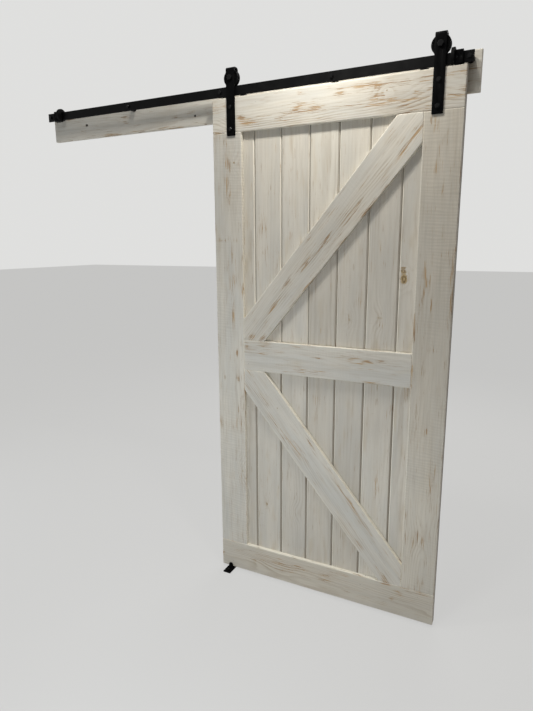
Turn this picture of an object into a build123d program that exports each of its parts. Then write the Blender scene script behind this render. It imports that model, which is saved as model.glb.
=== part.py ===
from build123d import *

import math
import os

# Sliding barn door: a ledged and braced leaf of boards on two top-hung rollers, the flat
# steel track they run on, the header board that carries the track, the end stops and the
# floor guide. Millimetres, +X along the track, +Y into the wall, +Z up. The origin is the
# centre of the header board's back face, and the leaf stands where it is parked.
# A depth is a distance in front of that back face, so a point at depth d has y = -d.

# Door leaf
door_width = 1036.0
door_height = 2198.0
board_width = 139.7
board_thickness = 19.0
panel_thickness = 19.0
mid_rail_height = 1096.5  # centre of the middle rail above the leaf's bottom edge
brace_run = 96.0  # from a brace's outer edge to the rail or stile corner it leans into
board_ease = 1.5

# Tongue and groove boards behind the frame
panel_count = 9
first_panel_width = 64.5
last_panel_width = 82.5
panel_joint_gap = 0.4
panel_vee = 3.0
tongue_length = 7.5
tongue_thickness = 6.0
tongue_clearance = 0.25

# Hanging clearances and travel
door_gap = 7.2  # under the track
floor_gap = 13.0
door_travel = 955.0  # from the parked place to the left stop
parked_travel = 5.0  # left to the right stop when parked
stop_clearance = 0.7

# Header board and its wood screws
header_thickness = 19.0
header_left_overhang = 9.0
header_right_overhang = 21.0
header_screw_first = 221.0
header_screw_pitch = 648.0
header_screw_heights = (-7.0, -28.0, -18.0)
header_screw_radius = 2.5
header_screw_head_radius = 4.8
header_screw_recess = 5.0
header_screw_length = 50.0

# Track, spacers and lag screws
track_height = 38.0
track_thickness = 6.0
track_rise = 39.0  # track centre above the header's centre
track_left_tail = 51.0
track_right_tail = 35.0
track_edge_round = 1.0
spacer_length = 38.0
spacer_radius = 14.0
lag_count = 5
lag_end_margin = 16.0
lag_radius = 4.0
lag_thread_radius = 3.6
lag_thread_length = 32.0
lag_point_length = 6.0
lag_across_flats = 13.0
lag_head_height = 5.3
lag_flange_radius = 9.0
lag_flange_thickness = 1.5
bolt_clearance = 0.25

# Roller hangers
hanger_inset = 93.0
strap_width = 40.0
strap_thickness = 5.0
strap_gap = 24.0
strap_bend_radius = 5.0
strap_drop = 153.5
strap_bolt_drops = (39.7, 126.5)
strap_end_round = 2.0
strap_wheel_clearance = 2.0
strap_bolt_radius = 4.0
strap_bolt_across_flats = 13.0
strap_bolt_head_height = 5.3
strap_bolt_flange_radius = 9.0
nut_washer_thickness = 1.6
cap_nut_height = 8.0
cap_nut_wall = 2.5

# Wheels and axles
wheel_radius = 34.5
wheel_tread_radius = 30.0
wheel_width = 18.0
wheel_groove_half = 4.0
wheel_groove_flare = 1.5
wheel_rim_thickness = 3.0
wheel_hub_wall = 3.5
wheel_web_recess = 2.5
wheel_lip = 2.5
rolling_clearance = 0.3
axle_radius = 5.95
axle_hole_clearance = 0.25
axle_across_flats = 19.0
axle_head_height = 7.5
axle_nut_height = 7.0
axle_tail = 3.0
sleeve_radius = 8.6

# Wheel bearings
bearing_width = 10.0
bearing_outer_radius = 16.0
bearing_inner_radius = 6.03
bearing_pitch_radius = 11.0
bearing_seat_clearance = 0.05
ball_radius = 2.96
ball_count = 8
ball_clearance = 0.04
raceway_radius = 3.1
land_offset = 1.6
cage_thickness = 1.6
cage_width = 7.0
cage_pocket_clearance = 0.09
shield_thickness = 0.5
shield_inset = 0.3
shield_clearance = 0.25

# End stops
bumper_radius = 29.0
bumper_thickness = 12.0
bumper_rise = 6.3  # bumper centre above the track's centre
block_length = 28.0
block_depth = 30.0
block_height = 46.0
track_slot_clearance = 0.2
set_screw_radius = 3.0
set_screw_spread = 14.0

# Anti-jump discs on the leaf's top edge
disc_radius = 17.0
disc_thickness = 5.0
disc_inboard = 55.0
disc_depth = 54.0
disc_screw_radius = 2.0
disc_screw_head_radius = 4.0
disc_screw_length = 28.0

# Floor guide
guide_run = 48.0  # from the parked leaf's left edge
guide_thickness = 3.0
guide_width = 38.0
guide_tab_width = 22.0
guide_tab_height = 19.0  # above the leaf's bottom edge
guide_gap = 0.6
guide_reach = 46.0
guide_bend_radius = 2.0
guide_bolt_radius = 3.0
guide_bolt_across_flats = 10.0
guide_bolt_head_height = 4.0
guide_slot_length = 18.0
guide_screw_radius = 2.2
guide_screw_head_radius = 4.2
guide_screw_spread = 22.0
guide_screw_length = 30.0

socket_share = 0.4  # a screw's hex socket against its head radius
thread_clearance = 0.05

# Depths in front of the header's back face
track_back = header_thickness + spacer_length
track_front = track_back + track_thickness
track_mid = (track_back + track_front) / 2
door_front = track_mid + strap_gap / 2
panel_front = door_front - board_thickness
door_back = panel_front - panel_thickness
strap_front = door_front + strap_thickness
rear_leg_front = track_mid - strap_gap / 2
rear_leg_back = rear_leg_front - strap_thickness

# Heights
track_top = track_rise + track_height / 2
track_bottom = track_rise - track_height / 2
door_top = track_bottom - door_gap
door_bottom = door_top - door_height
floor_level = door_bottom - floor_gap
axle_height = track_top + rolling_clearance + wheel_tread_radius
strap_top = axle_height + wheel_radius + strap_wheel_clearance + strap_thickness
strap_bottom = door_top - strap_drop
bumper_height = track_rise + bumper_rise
mid_rail_centre = door_bottom + mid_rail_height
mid_rail_top = mid_rail_centre + board_width / 2
mid_rail_bottom = mid_rail_centre - board_width / 2
top_rail_bottom = door_top - board_width
bottom_rail_top = door_bottom + board_width

# Runs along the track, from the parked leaf's left edge: where a wheel's rim meets a
# bumper's top edge sets the stops, the stops set the track, and the track sets the header
rim_over_bumper = max(0.0, axle_height - bumper_height - bumper_radius)
rim_reach = math.sqrt(wheel_radius**2 - rim_over_bumper**2)
stop_length = bumper_thickness + block_length
left_stop_run = hanger_inset - door_travel - rim_reach - stop_clearance
right_stop_run = door_width - hanger_inset + rim_reach + parked_travel + stop_clearance
track_left_run = left_stop_run - stop_length - track_left_tail
track_right_run = right_stop_run + stop_length + track_right_tail
header_left_run = track_left_run - header_left_overhang
header_right_run = track_right_run + header_right_overhang
header_centre_run = (header_left_run + header_right_run) / 2

# The same places measured from the header's centre
header_length = header_right_run - header_left_run
header_left = header_left_run - header_centre_run
track_length = track_right_run - track_left_run
track_left = track_left_run - header_centre_run
track_centre = track_left + track_length / 2
left_stop_face = left_stop_run - header_centre_run
right_stop_face = right_stop_run - header_centre_run
door_left = -header_centre_run
door_right = door_left + door_width
door_centre = door_left + door_width / 2
stile_left = door_left + board_width
stile_right = door_right - board_width
guide_centre = door_left + guide_run
hanger_places = {"left": door_left + hanger_inset, "right": door_right - hanger_inset}
inboard = {"left": 1, "right": -1}
lag_pitch = (track_length - 2 * lag_end_margin) / (lag_count - 1)
lag_places = [track_left + lag_end_margin + lag_pitch * i for i in range(lag_count)]
header_screw_places = [
    (header_left + header_screw_first + header_screw_pitch * i, height)
    for i, height in enumerate(header_screw_heights)
]
strap_bolt_places = [
    (x, door_top - drop) for x in hanger_places.values() for drop in strap_bolt_drops
]
disc_places = {
    side: hanger_places[side] + inboard[side] * disc_inboard for side in hanger_places
}
disc_screw_depth = panel_front + board_thickness / 2

os.makedirs("parts", exist_ok=True)


def front(depth):
    """The vertical plane at this depth, facing the room: its x is X and its y is Z."""
    return Plane.XZ.offset(depth)


def seat(x, height, depth):
    """A fastener's place on a vertical face, with its head towards the room."""
    return front(depth) * Location((x, height, 0))


def side_plane(x):
    """The upright plane across the wheel axle at x: its x is Y and its y is Z."""
    return Plane(origin=(x, -track_mid, axle_height), x_dir=(0, 1, 0), z_dir=(1, 0, 0))


def axle_axis(x):
    return Axis((x, -track_mid, axle_height), (0, 1, 0))


def hex_bolt(across_flats, head_height, flange_radius, flange_thickness, shank_radius, length):
    """A flanged hex bolt whose flange sits on z = 0 with its shank below."""
    with BuildPart() as bolt:
        with BuildSketch(Plane.XY) as flange:
            Circle(flange_radius)
        extrude(amount=flange_thickness)
        with BuildSketch(Plane.XY) as head:
            RegularPolygon(across_flats / 2, 6, major_radius=False)
        extrude(amount=flange_thickness + head_height)
        crown = bolt.faces().sort_by(Axis.Z)[-1]
        chamfer(crown.edges(), length=head_height / 8)
        with BuildSketch(Plane.XY) as shank:
            Circle(shank_radius)
        extrude(amount=-length)
    return bolt.part


def wood_screw(head_radius, head_height, shank_radius, length):
    """A countersunk wood screw whose head is flush with z = 0, with a hex socket."""
    point = 3 * shank_radius
    with BuildPart() as screw:
        with BuildSketch(Plane.XZ) as half:
            with BuildLine() as outline:
                Polyline(
                    (0, 0),
                    (head_radius, 0),
                    (shank_radius, -head_height),
                    (shank_radius, point - length),
                    (0, -length),
                    close=True,
                )
            make_face()
        revolve(axis=Axis.Z)
        with BuildSketch(Plane.XY) as socket:
            RegularPolygon(head_radius * socket_share, 6)
        extrude(amount=-head_height / 2, mode=Mode.SUBTRACT)
    return screw.part


# Header board, with holes for the lag screws and counterbored wood screws
with BuildPart() as header_board:
    with BuildSketch(front(0)) as header_face:
        Rectangle(header_length, board_width)
    extrude(amount=header_thickness)
    chamfer(header_board.faces().sort_by(Axis.Y)[0].edges(), length=board_ease)
    with Locations(*[seat(x, track_rise, header_thickness) for x in lag_places]):
        Hole(lag_radius + bolt_clearance, depth=header_thickness)
    with Locations(*[seat(x, z, header_thickness) for x, z in header_screw_places]):
        CounterBoreHole(
            header_screw_radius + bolt_clearance,
            header_screw_head_radius + bolt_clearance,
            header_screw_recess,
            header_thickness,
        )
header_board.part.label = "header_board"
export_step(header_board.part, "parts/header_board.step")

# The pocket's floor carries the screw head, so the head is drawn as a short cylinder
header_screw_head_height = 3.0
header_screw_seat = header_thickness - header_screw_recess
with BuildPart() as header_screws:
    with BuildSketch(front(header_screw_seat)) as heads:
        with Locations(*header_screw_places):
            Circle(header_screw_head_radius)
    extrude(amount=header_screw_head_height)
    with BuildSketch(front(header_screw_seat)) as shanks:
        with Locations(*header_screw_places):
            Circle(header_screw_radius)
    extrude(amount=-header_screw_length)
    with BuildSketch(front(header_screw_seat + header_screw_head_height)) as sockets:
        with Locations(*header_screw_places):
            RegularPolygon(header_screw_head_radius * socket_share, 6)
    extrude(amount=-header_screw_head_height / 2, mode=Mode.SUBTRACT)
header_screws.part.label = "header_screws"
export_step(header_screws.part, "parts/header_screws.step")

# Track: a flat bar on edge, its long edges broken for the wheels
with BuildPart() as track_bar:
    with BuildSketch(front(track_back)) as track_face:
        with Locations((track_centre, track_rise)):
            Rectangle(track_length, track_height)
    extrude(amount=track_thickness)
    fillet(track_bar.edges().filter_by(Axis.X), radius=track_edge_round)
    with Locations(*[seat(x, track_rise, track_front) for x in lag_places]):
        Hole(lag_radius + bolt_clearance, depth=track_thickness)
track_bar.part.label = "track_bar"
export_step(track_bar.part, "parts/track_bar.step")

for number, x in enumerate(lag_places, start=1):
    with BuildPart() as track_spacer:
        with BuildSketch(front(header_thickness)) as ring:
            with Locations((x, track_rise)):
                Circle(spacer_radius)
                Circle(lag_radius + bolt_clearance, mode=Mode.SUBTRACT)
        extrude(amount=spacer_length)
    track_spacer.part.label = f"track_spacer_{number}"
    export_step(track_spacer.part, f"parts/track_spacer_{number}.step")

# Lag screws through track, spacer and header; the thread is drawn at its mean diameter
lag_grip = track_front
lag_bolt = hex_bolt(
    lag_across_flats,
    lag_head_height,
    lag_flange_radius,
    lag_flange_thickness,
    lag_radius,
    lag_grip,
)
with BuildPart() as track_lag_screws:
    with Locations(*[seat(x, track_rise, track_front) for x in lag_places]):
        add(lag_bolt)
    with BuildSketch(front(0)) as threads:
        with Locations(*[(x, track_rise) for x in lag_places]):
            Circle(lag_thread_radius)
    extrude(amount=lag_point_length - lag_thread_length)
    for x in lag_places:
        with BuildSketch(front(lag_point_length - lag_thread_length)) as root:
            with Locations((x, track_rise)):
                Circle(lag_thread_radius)
        with BuildSketch(front(-lag_thread_length)) as tip:
            with Locations((x, track_rise)):
                Circle(lag_thread_radius / 6)
        loft([root.sketch.face(), tip.sketch.face()])
track_lag_screws.part.label = "track_lag_screws"
export_step(track_lag_screws.part, "parts/track_lag_screws.step")


def stop_slot(start, length):
    """Cuts the track's own slot, with clearance, through the stop being built."""
    with BuildSketch(Plane.YZ.offset(start)) as slot:
        with Locations((-track_mid, track_rise)):
            Rectangle(
                track_thickness + 2 * track_slot_clearance,
                track_height + 2 * track_slot_clearance,
            )
    extrude(slot.sketch, amount=length, mode=Mode.SUBTRACT)


# End stops: a rubber disc on the door's side and a steel block clamped by two set screws
stop_faces = {"left": left_stop_face, "right": right_stop_face}
set_screw_places = []
for side, face in stop_faces.items():
    outward = -inboard[side]
    bumper_start = min(face, face + outward * bumper_thickness)
    block_near = face + outward * bumper_thickness
    block_start = min(block_near, block_near + outward * block_length)
    block_centre = block_start + block_length / 2
    with BuildPart() as stop_bumper:
        with BuildSketch(Plane.YZ.offset(bumper_start)) as disc:
            with Locations((-track_mid, bumper_height)):
                Circle(bumper_radius)
        extrude(amount=bumper_thickness)
        rims = stop_bumper.edges().filter_by(GeomType.CIRCLE)
        fillet(rims, radius=bumper_thickness / 6)
        stop_slot(bumper_start, bumper_thickness)
    stop_bumper.part.label = f"stop_bumper_{side}"
    export_step(stop_bumper.part, f"parts/stop_bumper_{side}.step")

    screws_here = [
        (block_centre + shift * set_screw_spread / 2, track_rise) for shift in (-1, 1)
    ]
    set_screw_places += screws_here
    with BuildPart() as stop_block:
        with BuildSketch(Plane.YZ.offset(block_start)) as section:
            with Locations((-track_mid, track_rise)):
                RectangleRounded(block_depth, block_height, 2 * board_ease)
        extrude(amount=block_length)
        stop_slot(block_start, block_length)
        with BuildSketch(front(track_front)) as screw_holes:
            with Locations(*screws_here):
                Circle(set_screw_radius + thread_clearance)
        extrude(amount=block_depth / 2, mode=Mode.SUBTRACT)
    stop_block.part.label = f"stop_block_{side}"
    export_step(stop_block.part, f"parts/stop_block_{side}.step")

set_screw_length = block_depth / 2 - track_thickness / 2 - track_slot_clearance - 0.5
with BuildPart() as stop_set_screws:
    with BuildSketch(front(track_front + thread_clearance)) as bodies:
        with Locations(*set_screw_places):
            Circle(set_screw_radius)
    extrude(amount=set_screw_length)
    screw_tops = track_front + thread_clearance + set_screw_length
    with BuildSketch(front(screw_tops)) as sockets:
        with Locations(*set_screw_places):
            RegularPolygon(set_screw_radius * 0.55, 6)
    extrude(amount=-set_screw_length / 3, mode=Mode.SUBTRACT)
stop_set_screws.part.label = "stop_set_screws"
export_step(stop_set_screws.part, "parts/stop_set_screws.step")

# Floor guide: both pieces share one outline seen from the front, a wide foot that narrows
# to a round-topped tab
tab_round = guide_tab_width / 2
tab_round_height = door_bottom + guide_tab_height - tab_round
foot_shoulder = floor_level + 2 * guide_thickness
tab_shoulder = foot_shoulder + (guide_width - guide_tab_width) / 2
guide_front = door_front + guide_reach
front_tab_back = door_front + guide_gap
rear_tab_front = door_back - guide_gap
rear_tab_back = rear_tab_front - guide_thickness


def trim_to_guide_outline():
    """Keeps only what lies inside the guide's outline seen from the front."""
    with BuildSketch(front(rear_tab_back)) as guide_outline:
        with BuildLine() as edge:
            left = Polyline(
                (guide_centre - tab_round, tab_round_height),
                (guide_centre - tab_round, tab_shoulder),
                (guide_centre - guide_width / 2, foot_shoulder),
                (guide_centre - guide_width / 2, floor_level),
                (guide_centre + guide_width / 2, floor_level),
                (guide_centre + guide_width / 2, foot_shoulder),
                (guide_centre + tab_round, tab_shoulder),
                (guide_centre + tab_round, tab_round_height),
            )
            CenterArc((guide_centre, tab_round_height), tab_round, 0, 180)
        make_face()
    depth = guide_front - rear_tab_back
    extrude(guide_outline.sketch, amount=depth, mode=Mode.INTERSECT)


def guide_angle(foot_end, tab_room_side, tab_far_side, underside, bend):
    """A folded strip seen from its side: a foot out to foot_end and a tab up from it."""
    tab_top = door_bottom + guide_tab_height
    foot_top = underside + guide_thickness
    with BuildSketch(Plane.YZ.offset(guide_centre - guide_width / 2)) as section:
        with BuildLine() as edge:
            outer = FilletPolyline(
                (-foot_end, underside),
                (-tab_far_side, underside),
                (-tab_far_side, tab_top),
                radius=bend + guide_thickness,
            )
            inner = FilletPolyline(
                (-tab_room_side, tab_top),
                (-tab_room_side, foot_top),
                (-foot_end, foot_top),
                radius=bend,
            )
            Line(outer @ 1, inner @ 0)
            Line(inner @ 1, outer @ 0)
        make_face()
    extrude(section.sketch, amount=guide_width)


adjuster_depth = (front_tab_back + guide_front) / 2 + guide_thickness
floor_screw_depth = (door_front + door_back) / 2
with BuildPart() as guide_base:
    guide_angle(guide_front, rear_tab_front, rear_tab_back, floor_level, guide_bend_radius)
    trim_to_guide_outline()
    plate_top = floor_level + guide_thickness
    with Locations((guide_centre, -adjuster_depth, plate_top)):
        Hole(guide_bolt_radius + thread_clearance, depth=guide_thickness)
    with Locations((guide_centre, -floor_screw_depth, plate_top)):
        with GridLocations(guide_screw_spread, 0, 2, 1):
            CounterSinkHole(
                guide_screw_radius + bolt_clearance,
                guide_screw_head_radius + bolt_clearance,
                guide_thickness,
                counter_sink_angle=82,
            )
guide_base.part.label = "guide_base"
export_step(guide_base.part, "parts/guide_base.step")

with BuildPart() as guide_front_bracket:
    guide_angle(
        guide_front,
        front_tab_back + guide_thickness,
        front_tab_back,
        floor_level + guide_thickness,
        guide_bend_radius,
    )
    trim_to_guide_outline()
    with BuildSketch(Plane.XY.offset(floor_level + guide_thickness)) as slot:
        with Locations((guide_centre, -adjuster_depth)):
            SlotOverall(guide_slot_length, 2 * (guide_bolt_radius + bolt_clearance), 90)
    extrude(amount=guide_thickness, mode=Mode.SUBTRACT)
guide_front_bracket.part.label = "guide_front_bracket"
export_step(guide_front_bracket.part, "parts/guide_front_bracket.step")

adjuster = hex_bolt(
    guide_bolt_across_flats,
    guide_bolt_head_height,
    guide_bolt_across_flats * 0.7,
    guide_thickness / 3,
    guide_bolt_radius,
    2 * guide_thickness,
)
with BuildPart() as guide_adjuster_bolt:
    with Locations((guide_centre, -adjuster_depth, floor_level + 2 * guide_thickness)):
        add(adjuster)
guide_adjuster_bolt.part.label = "guide_adjuster_bolt"
export_step(guide_adjuster_bolt.part, "parts/guide_adjuster_bolt.step")

# The head is a little shallower than the 82 degree seat, so it rests near flush
floor_screw = wood_screw(
    guide_screw_head_radius,
    (guide_screw_head_radius - guide_screw_radius) / math.tan(math.radians(41)),
    guide_screw_radius,
    guide_screw_length,
)
with BuildPart() as guide_floor_screws:
    with Locations((guide_centre, -floor_screw_depth, floor_level + guide_thickness)):
        with GridLocations(guide_screw_spread, 0, 2, 1):
            add(floor_screw)
guide_floor_screws.part.label = "guide_floor_screws"
export_step(guide_floor_screws.part, "parts/guide_floor_screws.step")


def frame_board(x_low, x_high, z_low, z_high):
    """One square-cut frame board with eased front edges, drilled where a bolt meets it."""
    with BuildPart() as board:
        with BuildSketch(front(panel_front)) as face:
            with Locations(((x_low + x_high) / 2, (z_low + z_high) / 2)):
                Rectangle(x_high - x_low, z_high - z_low)
        extrude(amount=board_thickness)
        chamfer(board.faces().sort_by(Axis.Y)[0].edges(), length=board_ease)
        with Locations(*[seat(x, z, door_front) for x, z in strap_bolt_places]):
            Hole(strap_bolt_radius + bolt_clearance, depth=board_thickness)
    return board.part


# Frame: full-width top and bottom rails, with the stiles and the middle rail between them
with BuildPart() as top_rail:
    add(frame_board(door_left, door_right, top_rail_bottom, door_top))
    with Locations(*[(x, -disc_screw_depth, door_top) for x in disc_places.values()]):
        Hole(disc_screw_radius + thread_clearance, depth=disc_screw_length)
top_rail.part.label = "top_rail"
export_step(top_rail.part, "parts/top_rail.step")

with BuildPart() as bottom_rail:
    add(frame_board(door_left, door_right, door_bottom, bottom_rail_top))
bottom_rail.part.label = "bottom_rail"
export_step(bottom_rail.part, "parts/bottom_rail.step")

with BuildPart() as left_stile:
    add(frame_board(door_left, stile_left, bottom_rail_top, top_rail_bottom))
left_stile.part.label = "left_stile"
export_step(left_stile.part, "parts/left_stile.step")

with BuildPart() as right_stile:
    add(frame_board(stile_right, door_right, bottom_rail_top, top_rail_bottom))
right_stile.part.label = "right_stile"
export_step(right_stile.part, "parts/right_stile.step")

with BuildPart() as mid_rail:
    add(frame_board(stile_left, stile_right, mid_rail_bottom, mid_rail_top))
mid_rail.part.label = "mid_rail"
export_step(mid_rail.part, "parts/mid_rail.step")


def brace(start, end, z_low, z_high):
    """A diagonal board to the right of the line from start to end, cut to its opening."""
    along = (Vector(*end) - Vector(*start)).normalized()
    across = Vector(along.Y, -along.X) * board_width
    low = Vector(*start) - along * board_width
    high = Vector(*end) + along * board_width
    with BuildPart() as board:
        with BuildSketch(front(panel_front)) as face:
            with Locations(((stile_left + stile_right) / 2, (z_low + z_high) / 2)):
                Rectangle(stile_right - stile_left, z_high - z_low)
            with BuildLine() as strip:
                Polyline(low, high, high + across, low + across, close=True)
            make_face(mode=Mode.INTERSECT)
        extrude(amount=board_thickness)
        chamfer(board.faces().sort_by(Axis.Y)[0].edges(), length=board_ease)
    return board.part


with BuildPart() as upper_brace:
    add(
        brace(
            (stile_left, mid_rail_top + brace_run),
            (stile_right - brace_run, top_rail_bottom),
            mid_rail_top,
            top_rail_bottom,
        )
    )
upper_brace.part.label = "upper_brace"
export_step(upper_brace.part, "parts/upper_brace.step")

with BuildPart() as lower_brace:
    add(
        brace(
            (stile_right - brace_run, bottom_rail_top),
            (stile_left, mid_rail_bottom - brace_run),
            bottom_rail_top,
            mid_rail_bottom,
        )
    )
lower_brace.part.label = "lower_brace"
export_step(lower_brace.part, "parts/lower_brace.step")

# Panel: upright tongue and groove boards with a vee at each joint on the front
full_boards = panel_count - 2
panel_exposure = (door_width - first_panel_width - last_panel_width) / full_boards
first_joint = door_left + first_panel_width
joints = [first_joint + panel_exposure * i for i in range(full_boards + 1)]
joints = [door_left, *joints, door_right]
panel_mid = (panel_front + door_back) / 2
groove_depth = tongue_length + tongue_clearance
groove_half = tongue_thickness / 2 + tongue_clearance
for number, (low, high) in enumerate(zip(joints, joints[1:]), start=1):
    first = number == 1
    last = number == len(joints) - 1
    left = low if first else low + panel_joint_gap / 2
    right = high if last else high - panel_joint_gap / 2
    left_side = [(left, -door_back)]
    if not first:
        left_side += [
            (left, -panel_mid + tongue_thickness / 2),
            (left - tongue_length, -panel_mid + tongue_thickness / 2),
            (left - tongue_length, -panel_mid - tongue_thickness / 2),
            (left, -panel_mid - tongue_thickness / 2),
            (left, -panel_front + panel_vee),
        ]
    front_face = [(left if first else left + panel_vee, -panel_front)]
    front_face += [(right if last else right - panel_vee, -panel_front)]
    right_side = [(right, -door_back)]
    if not last:
        right_side = [
            (right, -panel_front + panel_vee),
            (right, -panel_mid - groove_half),
            (right - groove_depth, -panel_mid - groove_half),
            (right - groove_depth, -panel_mid + groove_half),
            (right, -panel_mid + groove_half),
            (right, -door_back),
        ]
    with BuildPart() as panel_board:
        with BuildSketch(Plane.XY.offset(door_bottom)) as section:
            with BuildLine() as edge:
                Polyline(*left_side, *front_face, *right_side, close=True)
            make_face()
        extrude(amount=door_height)
        with BuildSketch(front(door_back)) as bolt_holes:
            with Locations(*strap_bolt_places):
                Circle(strap_bolt_radius + bolt_clearance)
        extrude(amount=panel_thickness, mode=Mode.SUBTRACT)
    panel_board.part.label = f"panel_board_{number}"
    export_step(panel_board.part, f"parts/panel_board_{number}.step")

# Through bolts of the straps, with a washer and a domed nut behind the leaf
strap_grip = strap_front - door_back
strap_bolt = hex_bolt(
    strap_bolt_across_flats,
    strap_bolt_head_height,
    strap_bolt_flange_radius,
    lag_flange_thickness,
    strap_bolt_radius,
    strap_grip + nut_washer_thickness + cap_nut_height - 2 * cap_nut_wall,
)
with BuildPart() as strap_bolts:
    with Locations(*[seat(x, z, strap_front) for x, z in strap_bolt_places]):
        add(strap_bolt)
strap_bolts.part.label = "strap_bolts"
export_step(strap_bolts.part, "parts/strap_bolts.step")

with BuildPart() as strap_washers:
    with BuildSketch(front(door_back)) as rings:
        with Locations(*strap_bolt_places):
            Circle(strap_bolt_flange_radius)
            Circle(strap_bolt_radius + bolt_clearance, mode=Mode.SUBTRACT)
    extrude(amount=-nut_washer_thickness)
strap_washers.part.label = "strap_washers"
export_step(strap_washers.part, "parts/strap_washers.step")

cap_nut_seat = door_back - nut_washer_thickness
with BuildPart() as strap_cap_nuts:
    with BuildSketch(front(cap_nut_seat)) as hexagons:
        with Locations(*strap_bolt_places):
            RegularPolygon(strap_bolt_across_flats / 2, 6, major_radius=False)
    extrude(amount=-cap_nut_height / 2)
    with BuildSketch(front(cap_nut_seat)) as domes:
        with Locations(*strap_bolt_places):
            Circle(strap_bolt_across_flats / 2 - board_ease / 2)
    extrude(amount=-cap_nut_height)
    dome_rims = strap_cap_nuts.faces().sort_by(Axis.Y)[-len(strap_bolt_places) :].edges()
    fillet(dome_rims, radius=cap_nut_height / 4)
    with BuildSketch(front(cap_nut_seat)) as threads:
        with Locations(*strap_bolt_places):
            Circle(strap_bolt_radius + thread_clearance)
    extrude(amount=cap_nut_wall - cap_nut_height, mode=Mode.SUBTRACT)
strap_cap_nuts.part.label = "strap_cap_nuts"
export_step(strap_cap_nuts.part, "parts/strap_cap_nuts.step")

# Axle nuts and the sleeves that centre each bearing between the strap's two legs
axle_places = [(x, axle_height) for x in hanger_places.values()]
with BuildPart() as axle_nuts:
    with BuildSketch(front(rear_leg_back)) as hexagons:
        with Locations(*axle_places):
            RegularPolygon(axle_across_flats / 2, 6, major_radius=False)
            Circle(axle_radius + thread_clearance, mode=Mode.SUBTRACT)
    extrude(amount=-axle_nut_height)
axle_nuts.part.label = "axle_nuts"
export_step(axle_nuts.part, "parts/axle_nuts.step")

sleeve_length = (strap_gap - bearing_width) / 2
with BuildPart() as axle_sleeves:
    for start in (rear_leg_front, door_front - sleeve_length):
        with BuildSketch(front(start)) as ring:
            with Locations(*axle_places):
                Circle(sleeve_radius)
                Circle(axle_radius + axle_hole_clearance, mode=Mode.SUBTRACT)
        extrude(amount=sleeve_length)
axle_sleeves.part.label = "axle_sleeves"
export_step(axle_sleeves.part, "parts/axle_sleeves.step")

axle_bolt_solid = hex_bolt(
    axle_across_flats,
    axle_head_height,
    axle_across_flats / 2 + lag_flange_thickness,
    lag_flange_thickness,
    axle_radius,
    strap_front - rear_leg_back + axle_nut_height + axle_tail,
)

# Wheel section, as (across, radius) points from the wheel's centre
half_width = wheel_width / 2
half_seat = bearing_width / 2 + bearing_seat_clearance
lip_radius = bearing_outer_radius - wheel_lip
hub_radius = bearing_outer_radius + wheel_hub_wall
rim_radius = wheel_tread_radius - wheel_rim_thickness
web_half = half_width - wheel_web_recess
groove_top_half = wheel_groove_half + wheel_groove_flare
half_section = [
    (wheel_groove_half, wheel_tread_radius),
    (groove_top_half, wheel_radius),
    (half_width - 1, wheel_radius),
    (half_width, wheel_radius - 1),
    (half_width, rim_radius + 1),
    (web_half, rim_radius),
    (web_half, hub_radius + 1),
    (half_width, hub_radius),
    (half_width, lip_radius),
    (half_seat, lip_radius),
    (half_seat, bearing_outer_radius + bearing_seat_clearance),
]
wheel_section = half_section + [(-across, r) for across, r in reversed(half_section)]

outer_land = bearing_pitch_radius + land_offset
inner_land = bearing_pitch_radius - land_offset
raceway_shift = raceway_radius - ball_radius - ball_clearance
shield_start = bearing_width / 2 - shield_inset - shield_thickness

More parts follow.
